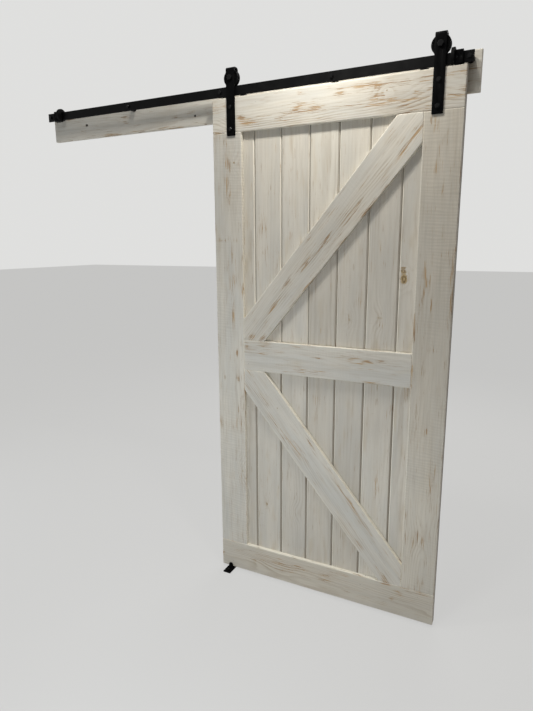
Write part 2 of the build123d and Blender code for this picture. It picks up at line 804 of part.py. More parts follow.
for side, x in hanger_places.items():
    # Strap: one flat bar folded over the wheel, its rear leg rounded about the axle
    with BuildPart() as hanger_strap:
        with BuildSketch(Plane.YZ.offset(x - strap_width / 2)) as profile:
            with BuildLine() as edge:
                outer = FilletPolyline(
                    (-strap_front, strap_bottom),
                    (-strap_front, strap_top),
                    (-rear_leg_back, strap_top),
                    (-rear_leg_back, axle_height),
                    radius=strap_bend_radius + strap_thickness,
                )
                inner = FilletPolyline(
                    (-rear_leg_front, axle_height),
                    (-rear_leg_front, strap_top - strap_thickness),
                    (-door_front, strap_top - strap_thickness),
                    (-door_front, strap_bottom),
                    radius=strap_bend_radius,
                )
                Line(outer @ 1, inner @ 0)
                Line(inner @ 1, outer @ 0)
            make_face()
        extrude(amount=strap_width)
        with BuildSketch(front(rear_leg_back)) as rear_end:
            with Locations((x, axle_height)):
                Circle(strap_width / 2)
        extrude(amount=strap_thickness)
        corners = hanger_strap.edges().filter_by(Axis.Y).sort_by(Axis.Z)[:2]
        fillet(corners, radius=strap_end_round)
        with BuildSketch(front(rear_leg_back)) as axle_hole:
            with Locations((x, axle_height)):
                Circle(axle_radius + axle_hole_clearance)
        extrude(amount=strap_front - rear_leg_back, mode=Mode.SUBTRACT)
        with BuildSketch(front(door_front)) as bolt_holes:
            with Locations(*[(x, door_top - drop) for drop in strap_bolt_drops]):
                Circle(strap_bolt_radius + bolt_clearance)
        extrude(amount=strap_thickness, mode=Mode.SUBTRACT)
    hanger_strap.part.label = f"hanger_strap_{side}"
    export_step(hanger_strap.part, f"parts/hanger_strap_{side}.step")

    with BuildPart() as axle_bolt:
        with Locations(seat(x, axle_height, strap_front)):
            add(axle_bolt_solid)
    axle_bolt.part.label = f"axle_bolt_{side}"
    export_step(axle_bolt.part, f"parts/axle_bolt_{side}.step")

    # Grooved wheel, moulded round its bearing with a lip on each side
    with BuildPart() as wheel:
        with BuildSketch(side_plane(x)) as section:
            with BuildLine() as edge:
                Polyline(*wheel_section, close=True)
            make_face()
        revolve(axis=axle_axis(x))
    wheel.part.label = f"wheel_{side}"
    export_step(wheel.part, f"parts/wheel_{side}.step")

    with BuildPart() as bearing_outer:
        with BuildSketch(side_plane(x)) as section:
            with Locations((0, (outer_land + bearing_outer_radius) / 2)):
                Rectangle(bearing_width, bearing_outer_radius - outer_land)
            with Locations((0, bearing_pitch_radius - raceway_shift)):
                Circle(raceway_radius, mode=Mode.SUBTRACT)
        revolve(axis=axle_axis(x))
    bearing_outer.part.label = f"bearing_outer_{side}"
    export_step(bearing_outer.part, f"parts/bearing_outer_{side}.step")

    with BuildPart() as bearing_inner:
        with BuildSketch(side_plane(x)) as section:
            with Locations((0, (inner_land + bearing_inner_radius) / 2)):
                Rectangle(bearing_width, inner_land - bearing_inner_radius)
            with Locations((0, bearing_pitch_radius + raceway_shift)):
                Circle(raceway_radius, mode=Mode.SUBTRACT)
        revolve(axis=axle_axis(x))
    bearing_inner.part.label = f"bearing_inner_{side}"
    export_step(bearing_inner.part, f"parts/bearing_inner_{side}.step")

    with BuildPart() as bearing_shields:
        for start in (-shield_start - shield_thickness, shield_start):
            with BuildSketch(front(track_mid + start)) as ring:
                with Locations((x, axle_height)):
                    Circle(outer_land - bearing_seat_clearance)
                    Circle(inner_land + shield_clearance, mode=Mode.SUBTRACT)
            extrude(amount=shield_thickness)
    bearing_shields.part.label = f"bearing_shields_{side}"
    export_step(bearing_shields.part, f"parts/bearing_shields_{side}.step")

    with BuildPart() as bearing_balls:
        with Locations(seat(x, axle_height, track_mid)):
            with PolarLocations(bearing_pitch_radius, ball_count):
                Sphere(ball_radius)
    bearing_balls.part.label = f"bearing_balls_{side}"
    export_step(bearing_balls.part, f"parts/bearing_balls_{side}.step")

    with BuildPart() as bearing_cage:
        with BuildSketch(front(track_mid - cage_width / 2)) as ring:
            with Locations((x, axle_height)):
                Circle(bearing_pitch_radius + cage_thickness / 2)
                Circle(bearing_pitch_radius - cage_thickness / 2, mode=Mode.SUBTRACT)
        extrude(amount=cage_width)
        with Locations(seat(x, axle_height, track_mid)):
            with PolarLocations(bearing_pitch_radius, ball_count):
                Cylinder(
                    ball_radius + cage_pocket_clearance,
                    2 * cage_thickness,
                    rotation=(0, 90, 0),
                    mode=Mode.SUBTRACT,
                )
    bearing_cage.part.label = f"bearing_cage_{side}"
    export_step(bearing_cage.part, f"parts/bearing_cage_{side}.step")

    # Anti-jump disc, screwed off its centre into the top rail, its rim under the track
    disc_x = disc_places[side]
    with BuildPart() as anti_jump_disc:
        with BuildSketch(Plane.XY.offset(door_top)) as round_face:
            with Locations((disc_x, -disc_depth)):
                Circle(disc_radius)
        extrude(amount=disc_thickness)
        chamfer(anti_jump_disc.faces().sort_by(Axis.Z)[-1].edges(), length=board_ease / 2)
        with Locations((disc_x, -disc_screw_depth, door_top + disc_thickness)):
            CounterSinkHole(
                disc_screw_radius + bolt_clearance,
                disc_screw_head_radius + bolt_clearance,
                disc_thickness,
                counter_sink_angle=82,
            )
    anti_jump_disc.part.label = f"anti_jump_disc_{side}"
    export_step(anti_jump_disc.part, f"parts/anti_jump_disc_{side}.step")

disc_screw = wood_screw(
    disc_screw_head_radius,
    (disc_screw_head_radius - disc_screw_radius) / math.tan(math.radians(41)),
    disc_screw_radius,
    disc_screw_length,
)
with BuildPart() as anti_jump_screws:
    screw_tops = door_top + disc_thickness
    with Locations(*[(x, -disc_screw_depth, screw_tops) for x in disc_places.values()]):
        add(disc_screw)
anti_jump_screws.part.label = "anti_jump_screws"
export_step(anti_jump_screws.part, "parts/anti_jump_screws.step")

print("header", round(header_length, 1), "track", round(track_length, 1))
print("door left", round(door_left, 2), "axle", round(axle_height, 2))
print("floor", round(floor_level, 2), "strap top", round(strap_top, 2))
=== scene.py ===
import math

import bmesh
import bpy
import numpy as np
from mathutils import Matrix, Vector, noise


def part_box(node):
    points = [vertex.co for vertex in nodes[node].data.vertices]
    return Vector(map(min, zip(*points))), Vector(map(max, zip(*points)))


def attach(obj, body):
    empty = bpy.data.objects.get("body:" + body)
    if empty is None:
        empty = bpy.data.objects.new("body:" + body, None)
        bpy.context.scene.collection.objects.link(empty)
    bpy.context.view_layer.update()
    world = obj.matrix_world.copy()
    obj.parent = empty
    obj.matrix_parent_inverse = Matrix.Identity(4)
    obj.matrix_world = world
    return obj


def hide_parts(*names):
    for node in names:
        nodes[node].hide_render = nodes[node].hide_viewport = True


# Sliding barn door: rubbed whitewash over pine boards, on matt black strap rollers.
# Metres, +X along the track, +Y from the front to the back, +Z up, as the frame has them.

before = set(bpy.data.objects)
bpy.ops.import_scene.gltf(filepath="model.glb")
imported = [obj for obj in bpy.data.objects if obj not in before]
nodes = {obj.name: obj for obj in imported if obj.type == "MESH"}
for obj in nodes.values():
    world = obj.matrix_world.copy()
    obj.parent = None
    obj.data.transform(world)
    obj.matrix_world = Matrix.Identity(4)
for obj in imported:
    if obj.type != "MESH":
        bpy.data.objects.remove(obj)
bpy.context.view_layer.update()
mm = 0.001
quickStep = 1.0


# Small helpers for shader trees


def socket(group, name, value, isInput=True):
    # the value is the socket's number, or else a word for its kind
    kind = value if isinstance(value, str) else type(value).__name__.capitalize()
    made = group.interface.new_socket(
        name=name, in_out="INPUT" if isInput else "OUTPUT", socket_type="NodeSocket" + kind
    )
    if kind != value:
        made.default_value = value


def wire(tree, value, target):
    if isinstance(value, bpy.types.NodeSocket):
        tree.links.new(value, target)
    else:
        target.default_value = value


def sums(tree, operation, a, b=0.0, c=0.0):
    node = tree.nodes.new("ShaderNodeMath")
    node.operation = operation
    for value, target in zip((a, b, c), node.inputs):
        wire(tree, value, target)
    return node.outputs[0]


def smoothStep(tree, value, low, high):
    node = tree.nodes.new("ShaderNodeMapRange")
    node.interpolation_type = "SMOOTHSTEP"
    wire(tree, value, node.inputs["Value"])
    wire(tree, low, node.inputs["From Min"])
    wire(tree, high, node.inputs["From Max"])
    return node.outputs["Result"]


def mixColour(tree, factor, a, b):
    node = tree.nodes.new("ShaderNodeMix")
    node.data_type = "RGBA"
    wire(tree, factor, node.inputs[0])
    wire(tree, a, node.inputs[6])
    wire(tree, b, node.inputs[7])
    return node.outputs[2]


def shaded(tree, colour, mask, amount, tone):
    # one tone laid over the colour where the mask stands, as strongly as the amount says
    return mixColour(tree, sums(tree, "MULTIPLY", mask, amount), colour, tone)


def scaled(tree, vector, factors):
    node = tree.nodes.new("ShaderNodeVectorMath")
    node.operation = "MULTIPLY"
    wire(tree, vector, node.inputs[0])
    wire(tree, factors, node.inputs[1])
    return node.outputs[0]


def splitXyz(tree, vector):
    node = tree.nodes.new("ShaderNodeSeparateXYZ")
    tree.links.new(vector, node.inputs[0])
    return node.outputs


def noiseOf(tree, vector, scale, detail=2.0, roughness=0.5, seed=None):
    node = tree.nodes.new("ShaderNodeTexNoise")
    tree.links.new(vector, node.inputs["Vector"])
    node.inputs["Scale"].default_value = scale
    node.inputs["Detail"].default_value = detail
    node.inputs["Roughness"].default_value = roughness
    if seed is not None:
        node.noise_dimensions = "4D"
        wire(tree, seed, node.inputs["W"])
    return node.outputs["Fac"]


def boardNoise(tree, board, layer):
    # a layer holds how often it varies along, across and into the board, detail, roughness
    stretch, detail, roughness = layer[:3]
    return noiseOf(tree, scaled(tree, board, stretch), 1.0, detail, roughness)


def boardPatches(tree, board, layer):
    # the layer's last two numbers are the levels between which its patches fade in
    return smoothStep(tree, boardNoise(tree, board, layer), *layer[3:])


def bumpOf(tree, height, strength, distance):
    node = tree.nodes.new("ShaderNodeBump")
    node.inputs["Strength"].default_value = strength
    node.inputs["Distance"].default_value = distance
    tree.links.new(height, node.inputs["Height"])
    return node.outputs["Normal"]


def newGroup(name, inputs, outputs):
    group = bpy.data.node_groups.new(name, "ShaderNodeTree")
    for label, value in inputs.items():
        socket(group, label, value)
    for label in outputs:
        socket(group, label, "Float", False)
    start = group.nodes.new("NodeGroupInput")
    end = group.nodes.new("NodeGroupOutput")
    return group, start.outputs, end.inputs


def place(tree, group, values):
    node = tree.nodes.new("ShaderNodeGroup")
    node.node_tree = group
    for label, value in values.items():
        wire(tree, value, node.inputs[label])
    return node.outputs


def newMaterial(name):
    material = bpy.data.materials.new(name)
    material.use_nodes = True
    shader = material.node_tree.nodes["Principled BSDF"]
    return material, material.node_tree, shader


def onlyMaterial(mesh, material):
    mesh.materials.clear()
    mesh.materials.append(material)


print("stage: shader groups")

# Growth rings. Board is the place in the board's own metres: along, across and into it.
# Pith is where the heart of the tree lies: across, behind the face, and the run-out.
grainMake = {
    "slow": ((1.6, 9.0, 9.0), 2.0, 0.5),
    "slowInDepth": 0.8,
    "ripple": ((11.0, 40.0, 40.0), 2.0, 0.6),
    "rippleSize": 0.006,
    "lateWoodRise": (0.35, 0.85),
    "lateWoodFall": (0.88, 1.0),
    "shown": ((2.8, 17.0, 17.0), 2.0, 0.5, 0.42, 0.64),
    "leastShown": 0.18,
    "fibres": ((12.0, 620.0, 620.0), 3.0, 0.62),
}
grainGroup, gIn, gOut = newGroup(
    "pineGrain",
    {
        "Board": "Vector", "Pith": "Vector", "Swirl": 0.0, "Emphasis": 0.0,
        "Ring Spacing": 0.006, "Wander": 0.02,
    },
    ("Rings", "Fibres"),
)
t = grainGroup
along, across, inward = splitXyz(t, gIn["Board"])
pithAcross, pithDepth, pithSlope = splitXyz(t, gIn["Pith"])
slow = boardNoise(t, gIn["Board"], grainMake["slow"])
slow = sums(t, "MULTIPLY", sums(t, "SUBTRACT", slow, 0.5), gIn["Wander"])
ripple = boardNoise(t, gIn["Board"], grainMake["ripple"])
ripple = sums(t, "MULTIPLY_ADD", ripple, grainMake["rippleSize"], -grainMake["rippleSize"] / 2)
sideways = sums(t, "ADD", sums(t, "SUBTRACT", across, pithAcross), slow)
depth = sums(t, "MULTIPLY_ADD", along, pithSlope, pithDepth)
depth = sums(t, "SUBTRACT", depth, inward)
depth = sums(t, "MULTIPLY_ADD", slow, grainMake["slowInDepth"], depth)
radius = sums(t, "MULTIPLY_ADD", depth, depth, sums(t, "MULTIPLY", sideways, sideways))
radius = sums(t, "ADD", sums(t, "ADD", sums(t, "SQRT", radius), ripple), gIn["Swirl"])
ring = sums(t, "FRACT", sums(t, "DIVIDE", radius, gIn["Ring Spacing"]))
lateWood = smoothStep(t, ring, *grainMake["lateWoodRise"])
fall = sums(t, "SUBTRACT", 1.0, smoothStep(t, ring, *grainMake["lateWoodFall"]))
lateWood = sums(t, "MULTIPLY", lateWood, fall)
shown = boardPatches(t, gIn["Board"], grainMake["shown"])
least = grainMake["leastShown"]
shown = sums(t, "ADD", sums(t, "MULTIPLY_ADD", shown, 1 - least, least), gIn["Emphasis"])
t.links.new(sums(t, "MULTIPLY", lateWood, shown), gOut["Rings"])
t.links.new(boardNoise(t, gIn["Board"], grainMake["fibres"]), gOut["Fibres"])

# Where the whitewash is rubbed through: short streaks along the grain, the arrises, and
# the spots that were rubbed on purpose. Each weight says how much one of them lifts the
# level, which is bare wood or thin paint between the two pairs of levels.
rubMake = {
    "streak": ((12.0, 350.0, 90.0), 3.0, 0.6),
    "patch": ((3.4, 15.0, 15.0), 2.0, 0.5, 0.50, 0.72),
    "patchWeight": 0.13,
    "spotWeight": 0.225,
    "arrisPatch": ((10.0, 3.0, 3.0), 3.0, 0.6, 0.44, 0.62),
    "arrisReach": 0.0032,
    "arrisWeight": 0.36,
    "ringWeight": 0.04,
    "bareLevels": (0.67, 0.72),
    "thinLevels": (0.52, 0.74),
}
rubGroup, gIn, gOut = newGroup(
    "rubbedThrough",
    {
        "Board": "Vector", "Edge Distance": 0.03, "Rubbed": 0.0, "Rings": 0.0,
        "Streaks": 0.5, "Arris Wear": 0.5,
    },
    ("Bare", "Thin"),
)
t = rubGroup
streak = boardNoise(t, gIn["Board"], rubMake["streak"])
patch = boardPatches(t, gIn["Board"], rubMake["patch"])
arris = sums(t, "EXPONENT", sums(t, "DIVIDE", gIn["Edge Distance"], -rubMake["arrisReach"]))
arris = sums(t, "MULTIPLY", arris, boardPatches(t, gIn["Board"], rubMake["arrisPatch"]))
arris = sums(t, "MULTIPLY", arris, gIn["Arris Wear"])
level = sums(t, "MULTIPLY", sums(t, "MULTIPLY", patch, gIn["Streaks"]), rubMake["patchWeight"])
for part, weight in ((gIn["Rubbed"], "spot"), (arris, "arris"), (gIn["Rings"], "ring")):
    level = sums(t, "MULTIPLY_ADD", part, rubMake[weight + "Weight"], level)
level = sums(t, "ADD", level, streak)
t.links.new(smoothStep(t, level, *rubMake["bareLevels"]), gOut["Bare"])
t.links.new(smoothStep(t, level, *rubMake["thinLevels"]), gOut["Thin"])

# A knot, from how far off its middle the place is, in its own half length and half width
knotMake = {
    "ragged": ((150.0, 190.0, 150.0), 3.0, 0.6),
    "raggedness": 0.9,
    "rim": (0.70, 1.05),
    "eyeRings": 11.0,
    "eyeRingDepth": 0.25,
    "speckle": (0.30, 0.72),
}
knotGroup, gIn, gOut = newGroup(
    "knotEye",
    {"Knot": "Vector", "Board": "Vector"},
    ("Core", "Speckle"),
)
t = knotGroup
knotAlong, knotAcross, knotStrength = splitXyz(t, gIn["Knot"])
ragged = boardNoise(t, gIn["Board"], knotMake["ragged"])
reach = sums(t, "MULTIPLY", knotAcross, knotAcross)
reach = sums(t, "SQRT", sums(t, "MULTIPLY_ADD", knotAlong, knotAlong, reach))
wobble = sums(t, "MULTIPLY_ADD", ragged, knotMake["raggedness"], -knotMake["raggedness"] / 2)
reach = sums(t, "ADD", reach, wobble)
core = sums(t, "SUBTRACT", 1.0, smoothStep(t, reach, *knotMake["rim"]))
t.links.new(sums(t, "MULTIPLY", core, knotStrength), gOut["Core"])
eyeRings = sums(t, "SINE", sums(t, "MULTIPLY", reach, knotMake["eyeRings"]))
eyeRings = sums(t, "MULTIPLY_ADD", eyeRings, knotMake["eyeRingDepth"], ragged)
t.links.new(smoothStep(t, eyeRings, *knotMake["speckle"]), gOut["Speckle"])

# Blade marks across the grain, in bands that come and go along the board
sawMake = {
    "slant": 0.06,
    "jitter": ((26.0, 6.0, 6.0), 2.0, 0.5),
    "jitterTurns": 2.2,
    "waveWeight": 0.75,
    "band": ((2.4, 5.0, 5.0), 2.0, 0.5, 0.40, 0.62),
    "scratch": ((115.0, 6.0, 6.0), 3.0, 0.6, 0.42, 0.70),
    "scratchWeight": 0.35,
}
sawGroup, gIn, gOut = newGroup(
    "sawMarks",
    {"Board": "Vector", "Pitch": 0.009, "Amount": 1.0},
    ("Marks",),
)
t = sawGroup
along, across, inward = splitXyz(t, gIn["Board"])
stroke = sums(t, "MULTIPLY_ADD", across, sawMake["slant"], along)
stroke = sums(t, "DIVIDE", stroke, gIn["Pitch"])
jitter = boardNoise(t, gIn["Board"], sawMake["jitter"])
stroke = sums(t, "MULTIPLY_ADD", jitter, sawMake["jitterTurns"], stroke)
wave = sums(t, "SINE", sums(t, "MULTIPLY", stroke, math.tau))
wave = sums(t, "MULTIPLY_ADD", wave, 0.5, 0.5)
band = boardPatches(t, gIn["Board"], sawMake["band"])
scratch = boardPatches(t, gIn["Board"], sawMake["scratch"])
scratch = sums(t, "MULTIPLY", scratch, sawMake["scratchWeight"])
marks = sums(t, "MULTIPLY_ADD", wave, sawMake["waveWeight"], scratch)
marks = sums(t, "MULTIPLY", marks, sums(t, "MULTIPLY", band, gIn["Amount"]))
t.links.new(marks, gOut["Marks"])

# Powder coat: fine orange peel, with a little handling dust in tone and roughness
coatMake = {
    "peelScale": 900.0,
    "smear": (24.0, 4.0, 0.62),  # scale, detail and roughness
    "smearLevels": (0.42, 0.75),
    "smearRoughness": 0.24,
}
coatGroup, gIn, gOut = newGroup(
    "powderCoat",
    {"Point": "Vector", "Dust": 0.3, "Smoothest": 0.36},
    ("Height", "Tone", "Roughness"),
)
t = coatGroup
smear = noiseOf(t, gIn["Point"], *coatMake["smear"])
dusty = smoothStep(t, smear, *coatMake["smearLevels"])
rough = sums(t, "MULTIPLY_ADD", smear, coatMake["smearRoughness"], gIn["Smoothest"])
t.links.new(noiseOf(t, gIn["Point"], coatMake["peelScale"]), gOut["Height"])
t.links.new(sums(t, "MULTIPLY", dusty, gIn["Dust"]), gOut["Tone"])
t.links.new(rough, gOut["Roughness"])


def attribute(tree, name):
    node = tree.nodes.new("ShaderNodeAttribute")
    node.attribute_name = name
    return node.outputs["Vector"]


# What the paint of all boards shares. A board's sides lie between the two pairs of depths,
# and they and its arrises are painted paler, a painted highlight for the light they catch.
washMake = {
    "cloud": ((2.1, 10.0, 10.0), 3.0, 0.55, 0.36, 0.66),
    "tint": ((5.5, 26.0, 26.0), 2.0, 0.5, 0.54, 0.74),
    "brushed": ((4.0, 105.0, 105.0), 5.0, 0.62, 0.44, 0.70),
    "broad": ((2.2, 38.0, 38.0), 2.0, 0.5, 0.46, 0.70),
    "pineShift": ((5.0, 60.0, 60.0), 2.0, 0.5, 0.38, 0.62),
    "sideFrom": (0.0006, 0.0017),
    "sideTo": (0.0165, 0.0182),
    "arrisHighlightReach": 0.0016,
    "bareRoughness": 0.14,
    "specular": 0.28,
    "ringHeight": -1.2,
    "bareHeight": -0.5,
    "bumpDistance": 0.0006,
}


# painted highlight: the side faces and a strip along each arris are painted paler
def thickCoat(tree, inward, edge, look):
    onSide = sums(tree, "SUBTRACT", 1.0, smoothStep(tree, inward, *washMake["sideTo"]))
    onSide = sums(tree, "MULTIPLY", smoothStep(tree, inward, *washMake["sideFrom"]), onSide)
    arris = sums(tree, "EXPONENT", sums(tree, "DIVIDE", edge, -washMake["arrisHighlightReach"]))
    return sums(tree, "MAXIMUM", onSide, sums(tree, "MULTIPLY", arris, look["arrisHighlight"]))


def whitewash(name, look):
    material, tree, shader = newMaterial(name)
    board = attribute(tree, "boardPlace")
    inward = splitXyz(tree, board)[2]
    edge, rubbed, shadeAndSeams = splitXyz(tree, attribute(tree, "boardMarks"))
    sawn, ringed, warm = splitXyz(tree, attribute(tree, "boardKind"))
    swirl, emphasis, paintedLight = splitXyz(tree, attribute(tree, "boardSwirl"))
    grainValues = {
        "Board": board,
        "Pith": attribute(tree, "boardPith"),
        "Swirl": swirl,
        "Emphasis": emphasis,
        "Ring Spacing": look["ringSpacing"],
        "Wander": look["wander"],
    }
    grain = place(tree, grainGroup, grainValues)
    rubValues = {
        "Board": board,
        "Edge Distance": edge,
        "Rubbed": rubbed,
        "Rings": grain["Rings"],
        "Streaks": look["streaks"],
        "Arris Wear": look["arrisWear"],
    }
    worn = place(tree, rubGroup, rubValues)
    knot = place(tree, knotGroup, {"Knot": attribute(tree, "boardKnot"), "Board": board})
    saw = place(tree, sawGroup, {"Board": board, "Pitch": look["sawPitch"], "Amount": sawn})

    def layer(label):
        return boardPatches(tree, board, washMake[label])

    paint = mixColour(tree, layer("cloud"), look["paint"], look["paintCool"])
    paint = mixColour(tree, warm, paint, look["paintWarm"])
    paint = shaded(tree, paint, layer("tint"), look["tint"], look["paintWarm"])
    paint = shaded(tree, paint, layer("brushed"), look["brushed"], look["brushedTone"])
    paint = shaded(tree, paint, layer("broad"), look["broad"], look["brushedTone"])
    # painted highlight: sides, arrises, lit joint flanks and paler stretches take the pale paint
    highlightShare = sums(tree, "MAXIMUM", thickCoat(tree, inward, edge, look), paintedLight)
    paint = mixColour(tree, highlightShare, paint, look["highlightPaint"])
    rings = sums(tree, "MULTIPLY", sums(tree, "MULTIPLY", grain["Rings"], ringed), look["rings"])
    paint = mixColour(tree, rings, paint, look["ringTone"])
    paint = shaded(tree, paint, saw["Marks"], look["sawShade"], look["sawTone"])
    paint = shaded(tree, paint, worn["Thin"], look["thin"], look["thinTone"])
    pine = mixColour(tree, layer("pineShift"), look["pine"], look["pineDark"])
    colour = shaded(tree, paint, worn["Bare"], look["bare"], pine)
    knotColour = mixColour(tree, knot["Speckle"], look["knotTone"], look["knotPale"])
    colour = mixColour(tree, knot["Core"], colour, knotColour)
    # painted shade, with the dark seams on the back: the paint is mixed towards a dark brown
    colour = mixColour(tree, shadeAndSeams, colour, look["soil"])
    tree.links.new(colour, shader.inputs["Base Color"])
    rough = sums(tree, "MULTIPLY_ADD", worn["Bare"], washMake["bareRoughness"], look["roughness"])
    tree.links.new(rough, shader.inputs["Roughness"])
    shader.inputs["Specular IOR Level"].default_value = washMake["specular"]
    height = sums(tree, "MULTIPLY", grain["Fibres"], look["fibreBump"])
    height = sums(tree, "MULTIPLY_ADD", saw["Marks"], look["sawBump"], height)
    height = sums(tree, "MULTIPLY_ADD", rings, washMake["ringHeight"], height)
    height = sums(tree, "MULTIPLY_ADD", worn["Bare"], washMake["bareHeight"], height)
    bump = bumpOf(tree, height, look["bump"], washMake["bumpDistance"])
    tree.links.new(bump, shader.inputs["Normal"])
    return material


# How each kind of board is painted: colours, shares from 0 to 1, and sizes in metres
frameLook = {
    "paint": (0.64, 0.605, 0.535, 1),
    "paintCool": (0.57, 0.555, 0.51, 1),
    "paintWarm": (0.54, 0.48, 0.385, 1),
    "tint": 0.45,
    "brushed": 0.24,
    "broad": 0.13,
    "brushedTone": (0.34, 0.305, 0.25, 1),
    "rings": 0.55,
    "ringTone": (0.33, 0.265, 0.19, 1),
    "ringSpacing": 0.0085,
    "wander": 0.05,
    "streaks": 0.85,
    "arrisWear": 0.27,
    "thin": 0.40,
    "thinTone": (0.47, 0.385, 0.285, 1),
    "bare": 0.94,
    "pine": (0.45, 0.305, 0.165, 1),
    "pineDark": (0.29, 0.185, 0.10, 1),
    "knotTone": (0.15, 0.095, 0.035, 1),
    "knotPale": (0.43, 0.31, 0.145, 1),
    # painted shade, and the dark seams on the back
    "soil": (0.115, 0.084, 0.055, 1),
    "highlightPaint": (0.87, 0.83, 0.73, 1),
    "arrisHighlight": 0.85,
    "sawPitch": 0.0125,
    "sawShade": 0.26,
    "sawTone": (0.34, 0.315, 0.27, 1),
    "sawBump": 0.4,
    "fibreBump": 0.8,
    "bump": 0.8,
    "roughness": 0.62,
}
panelLook = {
    **frameLook,
    "paint": (0.62, 0.582, 0.512, 1),
    "paintCool": (0.548, 0.525, 0.474, 1),
    "tint": 0.8,
    "brushed": 0.13,
    "broad": 0.12,
    "rings": 0.30,
    "ringSpacing": 0.011,
    "wander": 0.035,
    "streaks": 0.45,
    "arrisWear": 0.0,
    "thin": 0.34,
    "bump": 0.45,
    "roughness": 0.56,
}
headerLook = {
    **frameLook,
    "paint": (0.70, 0.665, 0.595, 1),
    "paintCool": (0.62, 0.60, 0.545, 1),
    "arrisWear": 0.5,
}

frameWood = whitewash("rubbedWhitewash", frameLook)
panelWood = whitewash("thinWhitewash", panelLook)
headerWood = whitewash("headerWhitewash", headerLook)


def blackFinish(name, look):
    material, tree, shader = newMaterial(name)
    point = tree.nodes.new("ShaderNodeTexCoord").outputs["Object"]
    values = {"Point": point, "Dust": look["dust"], "Smoothest": look["smoothest"]}
    coat = place(tree, coatGroup, values)
    tone = mixColour(tree, coat["Tone"], look["colour"], look["dusty"])
    tree.links.new(tone, shader.inputs["Base Color"])
    tree.links.new(coat["Roughness"], shader.inputs["Roughness"])
    shader.inputs["Metallic"].default_value = look["metallic"]
    shader.inputs["Specular IOR Level"].default_value = look["gloss"]
    bump = bumpOf(tree, coat["Height"], look["bump"], look["bumpDistance"])
    tree.links.new(bump, shader.inputs["Normal"])
    return material


coatLook = {
    "colour": (0.0024, 0.0024, 0.0026, 1),
    "dusty": (0.0075, 0.0075, 0.0075, 1),
    "dust": 0.35,
    "smoothest": 0.24,
    "metallic": 0.0,
    "gloss": 0.025,
    "bump": 0.14,
    "bumpDistance": 0.0002,
}
trackLook = {**coatLook, "smoothest": 0.30, "gloss": 0.075}
boltLook = {
    **coatLook,
    "colour": (0.0026, 0.0026, 0.0028, 1),
    "smoothest": 0.10,
    "gloss": 0.17,
    "bump": 0.06,
}
nylonLook = {**coatLook, "smoothest": 0.30, "gloss": 0.05, "bump": 0.08, "dust": 0.25}
rubberLook = {
    **coatLook,
    "colour": (0.005, 0.005, 0.005, 1),
    "smoothest": 0.55,
    "gloss": 0.05,
    "bump": 0.25,
    "dust": 0.5,
}
nailLook = {
    **coatLook,
    "colour": (0.075, 0.058, 0.042, 1),
    "dusty": (0.14, 0.11, 0.08, 1),
    "smoothest": 0.5,
    "gloss": 0.2,
}

coatedSteel = blackFinish("blackPowderCoat", coatLook)
trackSteel = blackFinish("satinTrackCoat", trackLook)
blackBolt = blackFinish("blackZincBolt", boltLook)
wheelNylon = blackFinish("blackNylonWheel", nylonLook)
stopRubber = blackFinish("stopRubber", rubberLook)
nailSteel = blackFinish("setNailHead", nailLook)

bearingLook = {
    "lines": ((40.0, 2500.0, 40.0), 2.0, 0.6),
    "dark": (0.50, 0.50, 0.51, 1),
    "pale": (0.64, 0.64, 0.65, 1),
    "smoothest": 0.22,
    "roughnessSpan": 0.15,
}


def groundSteel(look):
    material, tree, shader = newMaterial("groundSteel")
    point = tree.nodes.new("ShaderNodeTexCoord").outputs["Object"]
    lines = boardNoise(tree, point, look["lines"])
    tree.links.new(mixColour(tree, lines, look["dark"], look["pale"]), shader.inputs["Base Color"])
    rough = sums(tree, "MULTIPLY_ADD", lines, look["roughnessSpan"], look["smoothest"])
    tree.links.new(rough, shader.inputs["Roughness"])
    shader.inputs["Metallic"].default_value = 1.0
    return material


bearingSteel = groundSteel(bearingLook)


# Small helpers for pieces and for Geometry Nodes


def newPiece(name, mesh):
    piece = bpy.data.objects.new(name, mesh)
    bpy.context.scene.collection.objects.link(piece)
    return piece


def plainMesh(piece):
    # the piece as its modifiers make it
    evaluated = piece.evaluated_get(bpy.context.evaluated_depsgraph_get())
    return bpy.data.meshes.new_from_object(evaluated)


def geometryTree(name, inputs):
    tree = bpy.data.node_groups.new(name, "GeometryNodeTree")
    socket(tree, "Geometry", "Geometry")
    for label, value in inputs.items():
        socket(tree, label, value)
    socket(tree, "Geometry", "Geometry", False)
    start = tree.nodes.new("NodeGroupInput")
    end = tree.nodes.new("NodeGroupOutput")
    return tree, start.outputs, end.inputs["Geometry"]


def step(tree, kind, outlet=0, setup=None, links=None, **values):
    # links holds the inputs whose names have spaces in them
    node = tree.nodes.new(kind)
    for label, value in (setup or {}).items():
        setattr(node, label, value)
    for label, value in {**values, **(links or {})}.items():
        wire(tree, value, node.inputs[label])
    return node.outputs[outlet]


def finishTree(tree, geometry, material, end):
    real = step(tree, "GeometryNodeRealizeInstances", Geometry=geometry)
    coloured = step(tree, "GeometryNodeSetMaterial", Geometry=real, Material=material)
    tree.links.new(coloured, end)


def runTree(name, mesh, tree, values):
    maker = newPiece(name, mesh)
    modifier = maker.modifiers.new("make", "NODES")
    modifier.node_group = tree
    for item in tree.interface.items_tree:
        if item.item_type == "SOCKET" and item.in_out == "INPUT" and item.name in values:
            modifier[item.identifier] = values[item.name]
    maker.update_tag()
    made = plainMesh(maker)
    maker.modifiers.clear()
    maker.data = made
    made.name = name
    return maker


def pointsMesh(name, places):
    mesh = bpy.data.meshes.new(name)
    mesh.from_pydata([tuple(place) for place in places], [], [])
    return mesh


print("stage: geometry trees")

